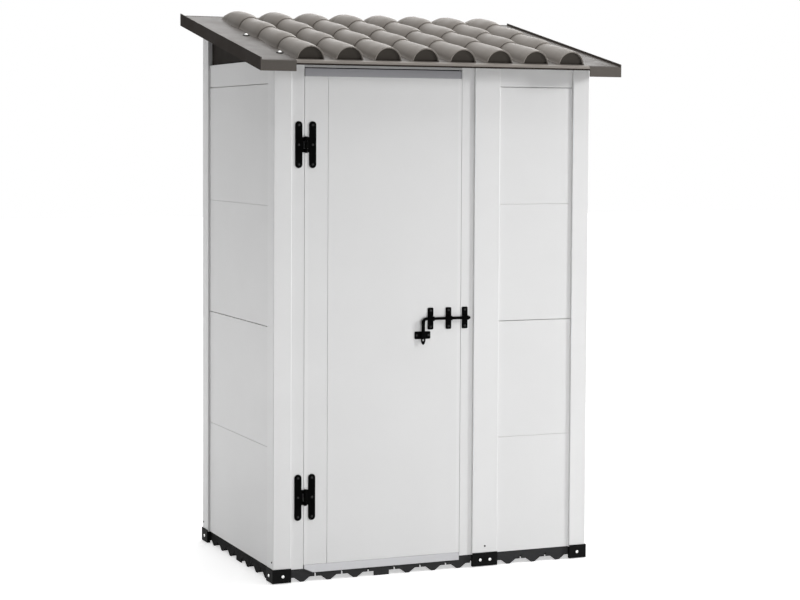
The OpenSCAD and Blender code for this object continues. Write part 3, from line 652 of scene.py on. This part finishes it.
def build_barrels():
    """Each row of tiles as one hollow shell, with the wall recessed in its mouth painted darker as
    shade.
    """
    outer = barrel_outer()
    inner = barrel_inner()
    columns = 40
    for number, centre in enumerate(barrel_centres()):
        verts = []
        for outline, is_outer in ((outer, True), (inner, False)):
            for up, width_r, height_r in outline:
                for across, out in barrel_section(width_r, height_r, is_outer, columns):
                    verts.append(on_roof(centre + across, BARREL_FRONT + up, out))
        width = columns + 3
        count = len(outer) + len(inner)
        faces = []
        for i in range(count):
            a = i * width
            b = (i + 1) % count * width
            faces += [[a + j, a + j + 1, b + j + 1, b + j] for j in range(width - 1)]
        row = add_mesh(
            f"roof_barrel_row_{number + 1}", verts, faces, ROOF, "frame", sharp=50)
        # Painted shade on the recessed wall behind the mouth
        paint(row, MOUTH_SHADE, is_mouth_wall)


def is_mouth_wall(face):
    """Whether a face of a row is part of the wall a few millimetres behind its mouth."""
    nearest = 3 * MM
    furthest = 7 * MM
    across = 0.8
    slope_way = Vector((0, math.cos(PITCH), math.sin(PITCH)))
    behind = face.center.dot(slope_way) - on_roof(0, BARREL_FRONT, 0).dot(slope_way)
    return nearest < behind < furthest and abs(face.normal.dot(slope_way)) > across


# Posts and walls

PLANK_JOINT = 1.8 * MM


def build_post(name):
    radius = 2.5 * MM
    low, high = box(name)
    outline = rounded_rect((low.x, low.y), (high.x, high.y), radius)
    verts, faces = prism(outline, "z", low.z, lambda point: roof_under(point[1]))
    add_mesh(name + "_shell", verts, faces, POST_WHITE, "frame", [name], sharp=50)


def plank_outline(face, back, low, high, grooved):
    """Outline of a plank, as (depth, height): both long edges bevelled at the face, and a
    shallow groove at mid height if grooved."""
    into = 1 if back > face else -1
    joint = PLANK_JOINT
    deep = 4 * joint
    edge = [(deep, 0), (0.9 * deep, 0.6 * joint), (0.3 * joint, 0.75 * joint), (0, joint)]
    points = [(back, high), (back, low)]
    points += [(face + into * depth, low + rise) for depth, rise in edge]
    if grooved:
        middle = (low + high) / 2
        half = 1.1 * MM
        bottom = face + into * 2 * half
        points += [(face, middle - half), (bottom, middle - 0.5 * half)]
        points += [(bottom, middle + 0.5 * half), (face, middle + half)]
    points += [(face + into * depth, high - rise) for depth, rise in reversed(edge)]
    return points


def build_walls():
    for side in ("left", "right"):
        for row in ("lower", "upper", "top"):
            name = f"{side}_wall_{row}"
            low, high = box(name)
            face, back = (low.x, high.x) if side == "left" else (high.x, low.x)
            outline = plank_outline(face, back, low.z, high.z, grooved=row != "top")
            verts, faces = prism(outline, "y", low.y, high.y)
            add_mesh(name + "_plank", verts, faces, WHITE, "frame", [name])
    for part in ("rear_wall", "front_panel"):
        for row in ("lower", "upper", "top"):
            name = f"{part}_{row}"
            low, high = box(name)
            face, back = (low.y, high.y) if part == "front_panel" else (high.y, low.y)
            top = high.z
            if row == "top":
                top = roof_under(low.y)
            outline = plank_outline(face, back, low.z, top, grooved=row != "top")
            verts, faces = prism(outline, "x", low.x, high.x)
            add_mesh(name + "_plank", verts, faces, WHITE, "frame", [name])


def build_jamb(name):
    """A strip that stands upright beside the door, with its edges slightly rounded."""
    radius = 0.8 * MM
    low, high = box(name)
    outline = rounded_rect((low.x, low.y), (high.x, high.y), radius, 2)
    verts, faces = prism(outline, "z", low.z, lambda point: roof_under(point[1]))
    add_mesh(name + "_strip", verts, faces, WHITE, "frame", [name], sharp=60)


def build_surround():
    """The jambs, and the header, painted grey as shade from the roof's lip, with black along its
    underside as painted shade of the gap over the door.
    """
    build_jamb("jamb_left")
    build_jamb("jamb_right")
    radius = 1.2 * MM
    low, high = box("door_header")
    outline = rounded_rect((low.y, low.z), (high.y, roof_under(low.y)), radius, 2)
    verts, faces = prism(outline, "x", low.x, high.x)
    # Painted shade: the header's grey stands for the shadow of the roof's lip
    header = add_mesh(
        "door_header_strip", verts, faces, HEADER_SHADE, "frame", ["door_header"])
    # Painted shade: the header's underside is black where the gap over the door is in shade
    paint(header, RUBBER_AND_GAP_SHADE, lambda face: face.normal.z < -LOOKS_ALONG)


# Door

LEAF_LOW, LEAF_HIGH = box("door_edge_trims")
TRIM_W = 12 * MM
TRIM_T = 1 * MM


def build_door_boards():
    """Boards with rounded joints, cut back where the edge trims and the strips cover them."""
    joint = 2.2 * MM
    for name in ("door_board_narrow", "door_board_wide"):
        low, high = box(name)
        outline = [
            (low.x, high.y), (low.x, low.y + joint), (low.x + 0.3 * joint, low.y + 0.4 * joint),
            (low.x + joint, low.y),
            (high.x - joint, low.y), (high.x - 0.3 * joint, low.y + 0.4 * joint),
            (high.x, low.y + joint), (high.x, high.y),
        ]
        verts, faces = prism(outline, "z", low.z, high.z)
        board = add_mesh(name + "_face", verts, faces, WHITE, "door", [name])
        out = 2 * MM
        cutters = []
        for y0, y1 in ((low.y - out, low.y + TRIM_T), (high.y - TRIM_T, high.y + out)):
            for x0, x1 in (
                (LEAF_LOW.x - out, LEAF_LOW.x + TRIM_W), (LEAF_HIGH.x - TRIM_W, LEAF_HIGH.x + out)
            ):
                if x0 < high.x and x1 > low.x:
                    cutters.append(block((x0, y0, low.z - out), (x1, y1, high.z + out)))
            cutters.append(block(
                (low.x - out, y0, low.z - out), (high.x + out, y1, LEAF_LOW.z)))
            cutters.append(block(
                (low.x - out, y0, LEAF_HIGH.z), (high.x + out, y1, high.z + out)))
        carve(board, cutters)


def block(low, high):
    outline = [(low[0], low[1]), (high[0], low[1]), (high[0], high[1]), (low[0], high[1])]
    return prism(outline, "z", low[2], high[2])


def build_door_trims():
    """Rounded U trims over the leaf's upright edges."""
    parts = []
    y0, y1 = LEAF_LOW.y, LEAF_HIGH.y
    radius = 1.2 * MM
    ease = 1.4 * MM
    for edge, turn in ((LEAF_LOW.x, 1), (LEAF_HIGH.x, -1)):
        x = edge - turn * ease
        corner = [
            (radius * (1 - math.cos(a)), radius * (1 - math.sin(a)))
            for a in [math.radians(d) for d in (90, 60, 30, 0)]
        ]
        far = edge + turn * TRIM_W
        near = edge + turn * TRIM_T
        outer = [(far, y0)] + [(x + turn * a, y0 + b) for a, b in corner]
        outer += [(x + turn * a, y1 - b) for a, b in reversed(corner)] + [(far, y1)]
        inner = [(far, y1 - TRIM_T), (near, y1 - TRIM_T), (near, y0 + TRIM_T), (far, y0 + TRIM_T)]
        parts.append(prism(outer + inner, "z", LEAF_LOW.z, LEAF_HIGH.z))
    verts, faces = joined(parts)
    add_mesh("door_edge_trim_pair", verts, faces, POST_WHITE, "door", ["door_edge_trims"])


# Hardware

def islands(name):
    """Boxes of the separate solids in a CAD node."""
    work = bmesh.new()
    work.from_mesh(nodes[name].data)
    bmesh.ops.remove_doubles(work, verts=work.verts, dist=WELD_DISTANCE)
    left = set(work.verts)
    found = []
    while left:
        stack = [left.pop()]
        group = []
        while stack:
            vert = stack.pop()
            group.append(vert.co.copy())
            for edge in vert.link_edges:
                other = edge.other_vert(vert)
                if other in left:
                    left.remove(other)
                    stack.append(other)
        low = Vector([min(v[i] for v in group) for i in range(3)])
        high = Vector([max(v[i] for v in group) for i in range(3)])
        found.append((low, high))
    work.free()
    return sorted(found, key=lambda pair: tuple(pair[0]))


WASHER_T = 2 * MM


def screw_parts(seat, out, radius, height, shank):
    """A domed head with a rounded edge on a seat, and the shank behind it."""
    flat = 0.35
    rim = 0.3
    shank_r = 2 * MM
    profile = [(0, height), (flat * radius, height)]
    for degrees in (25, 45, 65, 90):
        a = math.radians(degrees)
        across = flat + (1 - flat) * math.sin(a)
        up = rim + (1 - rim) * math.cos(a)
        profile.append((radius * across, height * up))
    profile += [(radius, 0), (shank_r, 0), (shank_r, -shank), (0, -shank)]
    return turned(profile, seat, out)


def recess_parts(seat, out, radius, height):
    """The cross in a screw's head, as two flat bars just proud of it, in black as painted shade of the
    recess.
    """
    half_length = 0.42
    half_width = 0.09
    out = Vector(out).normalized()
    side = out.orthogonal().normalized()
    other = out.cross(side)
    parts = []
    for along, across in ((side, other), (other, side)):
        long = along * radius * half_length
        wide = across * radius * half_width
        verts = []
        for level in (height * 0.6, height + 0.05 * MM):
            for a, b in ((1, 1), (-1, 1), (-1, -1), (1, -1)):
                verts.append(Vector(seat) + long * a + wide * b + out * level)
        faces = [[0, 1, 2, 3], [7, 6, 5, 4]]
        faces += [[i, (i + 1) % 4, 4 + (i + 1) % 4, 4 + i] for i in range(4)]
        parts.append((verts, faces))
    return joined(parts)


def build_screws(name, out_of, radius, height, shank, material, body):
    """Draws every screw of a CAD group again, with a domed head and a cross of black bars as painted
    shade of its recess.
    """
    heads = []
    marks = []
    for low, high in islands(name):
        seat, out = out_of(low, high)
        heads.append(screw_parts(seat, out, radius, height, shank))
        marks.append(recess_parts(seat, out, radius, height))
    verts, faces = joined(heads)
    add_mesh(name + "_heads", verts, faces, material, body, [name], sharp=40)
    verts, faces = joined(marks)
    add_mesh(name + "_recesses", verts, faces, RECESS_SHADE, body)


def facing(head_height):
    """How a screw's box gives its seat and direction: the long side is its axis, and its
    head is on the side away from the shed's middle."""
    def find(low, high):
        middle = (low + high) / 2
        size = high - low
        axis = max(range(3), key=lambda i: size[i])
        out = Vector((0, 0, 0))
        sign = 1 if middle[axis] > 0 else -1
        out[axis] = sign
        seat = middle.copy()
        seat[axis] = (high[axis] if sign > 0 else low[axis]) - sign * head_height
        return seat, out
    return find


def roof_screw_seat(low, high):
    """The seat of a roof screw, just over its washer, and the direction out of the roof."""
    middle = (low + high) / 2
    up = (middle.y - ROOF_LOW.y) / math.cos(PITCH)
    out = Vector((0, -math.sin(PITCH), math.cos(PITCH)))
    point = on_roof(middle.x, up, 0)
    slide = (middle - point).dot(Vector((0, math.cos(PITCH), math.sin(PITCH))))
    return on_roof(middle.x, up + slide, WASHER_T + 0.1 * MM), out


def build_roof_washers():
    """A rubber disc with a rounded edge under each roof screw."""
    parts = []
    radius = 13 * MM
    hole = 2.2 * MM
    edge = 0.9 * MM
    for low, high in islands("roof_washers"):
        seat, out = roof_screw_seat(low, high)
        seat = seat - out * (WASHER_T + 0.05 * MM)
        profile = [(hole, 0), (radius, 0)]
        profile += arc((radius - edge, WASHER_T - edge), edge, 0, 90, 4)
        profile += [(hole, WASHER_T), (hole, 0)]
        parts.append(turned(profile, seat, out, 36))
    verts, faces = joined(parts)
    add_mesh("roof_washer_discs", verts, faces, RUBBER_AND_GAP_SHADE, "frame", ["roof_washers"])


def build_black_screws(name, radius, shank, body):
    height = 2 * MM
    build_screws(name, facing(height), radius, height, shank, BLACK_SCREW, body)


def build_all_screws():
    foot_head = 3 * MM
    build_screws(
        "bracket_screws", facing(foot_head), radius=5.5 * MM, height=foot_head, shank=10 * MM,
        material=ZINC, body="frame")
    build_screws(
        "roof_screws", roof_screw_seat, radius=7 * MM, height=5 * MM, shank=8 * MM,
        material=ZINC, body="frame")
    build_roof_washers()
    build_black_screws("post_screws", radius=3.5 * MM, shank=6 * MM, body="frame")
    build_black_screws("frame_screws", radius=4.5 * MM, shank=10 * MM, body="frame")
    build_black_screws("door_screws", radius=4.5 * MM, shank=10 * MM, body="door")


ROD_LOW, ROD_HIGH = box("bolt_rod")
ROD_R = (ROD_HIGH.z - ROD_LOW.z) / 2
ROD_Y = (ROD_LOW.y + ROD_HIGH.y) / 2
ROD_Z = (ROD_LOW.z + ROD_HIGH.z) / 2
HANDLE_LOW, HANDLE_HIGH = box("bolt_handle")
PLATE_T = 2.5 * MM
PLATE_CORNER = 4 * MM
PLATE_EDGE = 0.4 * MM


def build_keepers():
    """Steel straps with rounded corners, each with a raised arch that the rod slides in,
    and the hasp plate behind the handle."""
    play = 0.2 * MM
    for name, body in (("keeper_inner", "door"), ("keeper_outer", "door"), ("keeper_jamb", "frame")):
        low, high = box(name)
        front = high.y - PLATE_T
        outline = rounded_rect((low.x, low.z), (high.x, high.z), PLATE_CORNER)
        plate = prism(outline, "y", front, high.y)
        radius = ROD_Y - low.y
        open_half = math.degrees(math.acos((front - ROD_Y) / radius))
        arch = arc((ROD_Y, ROD_Z), radius, open_half, 360 - open_half, 28)
        arch += arc((ROD_Y, ROD_Z), ROD_R + play, 360 - open_half, open_half, 28)
        verts, faces = joined([plate, prism(arch, "x", low.x, high.x)])
        strap = add_mesh(name + "_strap", verts, faces, BLACK, body, [name])
        bevel(strap, PLATE_EDGE, 2)
    low, high = box("hasp_plate")
    outline = rounded_rect((low.x, low.z), (high.x, high.z), PLATE_CORNER)
    verts, faces = prism(outline, "y", low.y, high.y)
    plate = add_mesh("hasp_rounded_plate", verts, faces, BLACK, "door", ["hasp_plate"])
    bevel(plate, PLATE_EDGE, 2)


def swept(rings, segments=24):
    """Verts and faces of a closed bar through rings of (centre, side, other), where side
    and other are the half axes of an oval."""
    verts = []
    for centre, side, other in rings:
        for i in range(segments):
            turn = 2 * math.pi * i / segments
            verts.append(centre + side * math.cos(turn) + other * math.sin(turn))
    faces = []
    for i in range(len(rings) - 1):
        a = i * segments
        b = a + segments
        faces += [[a + j, a + (j + 1) % segments, b + (j + 1) % segments, b + j]
                  for j in range(segments)]
    last = (len(rings) - 1) * segments
    faces.append(list(range(segments - 1, -1, -1)))
    faces.append([last + j for j in range(segments)])
    return verts, faces


def build_rod():
    """The bar that slides in the keepers. It is thinner where the handle goes around it."""
    thin = ROD_R - 1.2 * MM
    gap = 0.2 * MM
    edge = 0.3 * MM
    shoulder = HANDLE_HIGH.x - ROD_LOW.x + gap
    length = ROD_HIGH.x - ROD_LOW.x
    profile = [(0, 0), (thin, 0), (thin, shoulder)]
    profile += [(ROD_R - edge, shoulder), (ROD_R, shoulder + edge)]
    profile += [(ROD_R, length - 2 * MM), (ROD_R - 0.5 * MM, length - 0.8 * MM)]
    profile += [(ROD_R - 1.5 * MM, length), (0, length)]
    verts, faces = turned(profile, (ROD_LOW.x, ROD_Y, ROD_Z), (1, 0, 0))
    add_mesh("bolt_rod_bar", verts, faces, BLACK, "bolt", ["bolt_rod"])


def sleeve_rings():
    """The handle's end on the rod, with its edge eased."""
    rings = []
    for back, radius in ((0, ROD_R - 0.3 * MM), (0.4 * MM, ROD_R)):
        centre = Vector((HANDLE_HIGH.x - back, ROD_Y, ROD_Z))
        rings.append((centre, Vector((0, radius, 0)), Vector((0, 0, radius))))
    return rings


def bend_rings(stem_x, neck):
    """The quarter turn from the rod down to the stem, where it is as wide as the neck."""
    bend = 12 * MM
    steps = 8
    rings = []
    for i in range(steps + 1):
        turn = math.radians(90 * i / steps)
        x = stem_x + bend - bend * math.sin(turn)
        z = ROD_Z - bend + bend * math.cos(turn)
        wide = ROD_R + (neck - ROD_R) * i / steps
        out = Vector((-math.sin(turn), 0, math.cos(turn)))
        rings.append((Vector((x, ROD_Y, z)), Vector((0, ROD_R, 0)), out * wide))
    return rings


def drop_rings(stem_x, neck, half_drop):
    """The drop below the stem: it swells from the neck to its full width, gets flatter on
    the way, and closes in a rounded end."""
    stem_length = 40 * MM
    top = ROD_Z - stem_length
    length = top - HANDLE_LOW.z
    flat = 2.5 * MM
    flat_from = 0.4
    full_from = 0.55
    round_from = 0.68
    narrowing = 0.985
    thinning = 0.5
    steps = 24
    rings = []
    for i in range(steps + 1):
        share = i / steps
        swell = math.sin(math.pi / 2 * min(share / full_from, 1)) ** 2
        point = max(share - round_from, 0) / (1 - round_from)
        wide = neck + (half_drop - neck) * swell
        wide *= math.sqrt(1 - narrowing * point ** 1.3)
        deep = ROD_R + (flat - ROD_R) * min(share / flat_from, 1)
        deep *= 1 - thinning * point ** 4
        centre = Vector((stem_x, ROD_Y, top - length * share))
        rings.append((centre, Vector((0, deep, 0)), Vector((-wide, 0, 0))))
    return rings


def build_handle():
    """One bent bar from the rod down to a flat drop with a hole for a padlock."""
    half_drop = 9 * MM
    neck = 1.35 * ROD_R
    stem_x = HANDLE_LOW.x + half_drop
    rings = sleeve_rings() + bend_rings(stem_x, neck) + drop_rings(stem_x, neck, half_drop)
    verts, faces = swept(rings)
    handle = add_mesh(
        "bolt_handle_bar", verts, faces, BLACK, "handle", ["bolt_handle"], sharp=50)
    hole_r = 4 * MM
    through = 9 * MM
    hole_up = 17 * MM
    profile = [(0, -through), (hole_r, -through), (hole_r, through), (0, through)]
    hole = turned(profile, (stem_x, ROD_Y, HANDLE_LOW.z + hole_up), (0, 1, 0))
    carve(handle, [hole])


# Pieces that keep the shape of their CAD node

def dress_cad_nodes():
    """The floor tiles are painted blacker on the faces that look left, as shade on the side the key lamp
    misses, and the door stops are painted black near their top, as shade of the gap behind the door's
    top edge."""
    looks_left = 0.3
    gap_shade_height = 30 * MM
    for column in ("left", "mid", "right"):
        for row in ("front", "rear"):
            tile = dress(f"floor_tile_{row}_{column}", FLOOR, 0.5 * MM)
            # Painted shade on the faces that look left
            paint(tile, FLOOR_SHADE_SIDE, lambda face: face.normal.x < -looks_left)
    for name in ("front_left", "front_right", "rear_left", "rear_right", "mullion"):
        dress("bracket_" + name, BRACKET, 0.8 * MM, 3)
    for name in ("front_top_rails", "rear_top_rail", "roof_rafters"):
        dress(name, ALUMINIUM)
    for name in ("gable_left", "gable_right"):
        # Painted shade: the gables' darker brown
        dress(name, GABLE_SHADE)
    stops = dress("door_stops", WHITE, 0.6 * MM)
    # Painted shade of the gap behind the door's top edge
    paint(stops, RUBBER_AND_GAP_SHADE, lambda face: face.center.z > LEAF_HIGH.z - gap_shade_height)
    # Painted shade: the channel's darker aluminium stands for the lip's shadow
    dress("door_top_channel", CHANNEL_SHADE, 0.4 * MM)
    dress("door_bottom_strip", DRIP_STRIP, 0.5 * MM)
    for name in ("upper_frame", "upper_door", "lower_frame", "lower_door"):
        dress(f"hinge_{name}_leaf", BLACK, 0.5 * MM)
    dress("hinge_pins", BLACK, 0.5 * MM)


# Camera, floor and light

def build_camera():
    """The photograph's camera, found from the shed's own corners. Most of its framing comes
    from a tilt, and the rest from a shift, because its uprights are nearly parallel."""
    picture_width = 800
    focal_px = 1981.1
    shift_px = 65
    place = (-2.8524, -6.8074, 1.5473)
    turn = math.radians(22.879)
    tilt = math.radians(87.209)
    roll = math.radians(0.295)
    data = bpy.data.cameras.new("camera")
    data.sensor_width = 36
    data.lens = focal_px * data.sensor_width / picture_width
    data.shift_y = -shift_px / picture_width
    data.clip_end = 60
    camera = bpy.data.objects.new("camera", data)
    camera.matrix_world = (
        Matrix.Translation(place)
        @ Matrix.Rotation(-turn, 4, "Z")
        @ Matrix.Rotation(tilt, 4, "X")
        @ Matrix.Rotation(roll, 4, "Z")
    )
    scene.collection.objects.link(camera)
    scene.camera = camera


def seen_rays(tree):
    """1 for rays that show the surroundings: straight to the camera, or by a reflection
    or through glass."""
    path = tree.nodes.new("ShaderNodeLightPath")
    value = path.outputs["Is Camera Ray"]
    for name in ("Is Glossy Ray", "Is Transmission Ray"):
        either = tree.nodes.new("ShaderNodeMath")
        either.operation = "MAXIMUM"
        tree.links.new(value, either.inputs[0])
        tree.links.new(path.outputs[name], either.inputs[1])
        value = either.outputs[0]
    return value


def stage_glow(tree):
    """How much the floor adds for those rays: near the shed just enough to be white out
    of its shadow, and full white further out."""
    coord = tree.nodes.new("ShaderNodeTexCoord")
    length = tree.nodes.new("ShaderNodeVectorMath")
    length.operation = "LENGTH"
    tree.links.new(coord.outputs["Object"], length.inputs[0])
    ramp = tree.nodes.new("ShaderNodeMapRange")
    ramp.interpolation_type = "SMOOTHSTEP"
    ramp.inputs["From Min"].default_value = 1.2
    ramp.inputs["From Max"].default_value = 3.5
    ramp.inputs["To Min"].default_value = 0.55
    ramp.inputs["To Max"].default_value = 1
    tree.links.new(length.outputs["Value"], ramp.inputs["Value"])
    amount = tree.nodes.new("ShaderNodeMath")
    amount.operation = "MULTIPLY"
    tree.links.new(ramp.outputs["Result"], amount.inputs[0])
    tree.links.new(seen_rays(tree), amount.inputs[1])
    return amount.outputs[0]


def build_stage():
    """A wide white floor that takes the shed's shadow."""
    half = 30
    paper = (0.92, 0.92, 0.92)
    verts = [(-half, -half, 0), (half, -half, 0), (half, half, 0), (-half, half, 0)]
    mesh = bpy.data.meshes.new("studio_floor")
    mesh.from_pydata(verts, [], [[0, 1, 2, 3]])
    mat, tree, shader = node_material("studio_floor")
    shader.inputs["Roughness"].default_value = 0.9
    shader.inputs["Specular IOR Level"].default_value = 0.1
    shade = spread(tree, noise(tree, object_coords(tree), 0.8), 0.985, 1)
    tree.links.new(tint(tree, paper, shade), shader.inputs["Base Color"])
    shader.inputs["Emission Color"].default_value = (1, 1, 1, 1)
    tree.links.new(stage_glow(tree), shader.inputs["Emission Strength"])
    mesh.materials.append(mat)
    floor = bpy.data.objects.new("studio_floor", mesh)
    scene.collection.objects.link(floor)


def area_light(name, place, target, size, power):
    data = bpy.data.lights.new(name, "AREA")
    data.shape = "RECTANGLE"
    data.size, data.size_y = size
    data.energy = power
    lamp = bpy.data.objects.new(name, data)
    lamp.location = place
    away = Vector(place) - Vector(target)
    lamp.rotation_mode = "QUATERNION"
    lamp.rotation_quaternion = away.to_track_quat("Z", "Y")
    scene.collection.objects.link(lamp)


def build_light():
    """A dim world that shows white, a small hard key lamp from the right, and softer lamps
    that fill the other sides."""
    world = bpy.data.worlds.new("studio")
    scene.world = world
    world.use_nodes = True
    tree = world.node_tree
    tree.nodes.clear()
    lit = tree.nodes.new("ShaderNodeBackground")
    lit.inputs["Color"].default_value = (1, 1, 1, 1)
    lit.inputs["Strength"].default_value = 0.18
    white = tree.nodes.new("ShaderNodeBackground")
    white.inputs["Color"].default_value = (1, 1, 1, 1)
    white.inputs["Strength"].default_value = 1
    mix = tree.nodes.new("ShaderNodeMixShader")
    out = tree.nodes.new("ShaderNodeOutputWorld")
    tree.links.new(seen_rays(tree), mix.inputs["Fac"])
    tree.links.new(lit.outputs[0], mix.inputs[1])
    tree.links.new(white.outputs[0], mix.inputs[2])
    tree.links.new(mix.outputs[0], out.inputs["Surface"])
    area_light("key", place=(4.5, -2.25, 2.55), target=(0, 0, 0.9), size=(0.75, 0.75), power=152)
    area_light("front", place=(0.5, -4.0, 0.35), target=(0, -0.4, 0.7), size=(2.4, 0.5), power=33)
    area_light("side", place=(-3.9, 2.9, 0.4), target=(-0.6, 0.3, 0.5), size=(2.2, 1.2), power=58)
    area_light("top", place=(0, -0.4, 5.0), target=(0, 0, 0), size=(4, 4), power=108)
    area_light("rear", place=(2.2, 5.3, 4.2), target=(0, 0, 1.9), size=(4, 4), power=140)


build_camera()
build_stage()
build_light()
build_roof_tray()
build_barrels()
for post in ("post_front_left", "post_front_right", "post_rear_left", "post_rear_right", "mullion"):
    build_post(post)
build_walls()
build_surround()
build_door_boards()
build_door_trims()
build_all_screws()
build_keepers()
build_rod()
build_handle()
for piece in drawn:
    even_shading(piece)
dress_cad_nodes()

scene.view_settings.view_transform = "Standard"
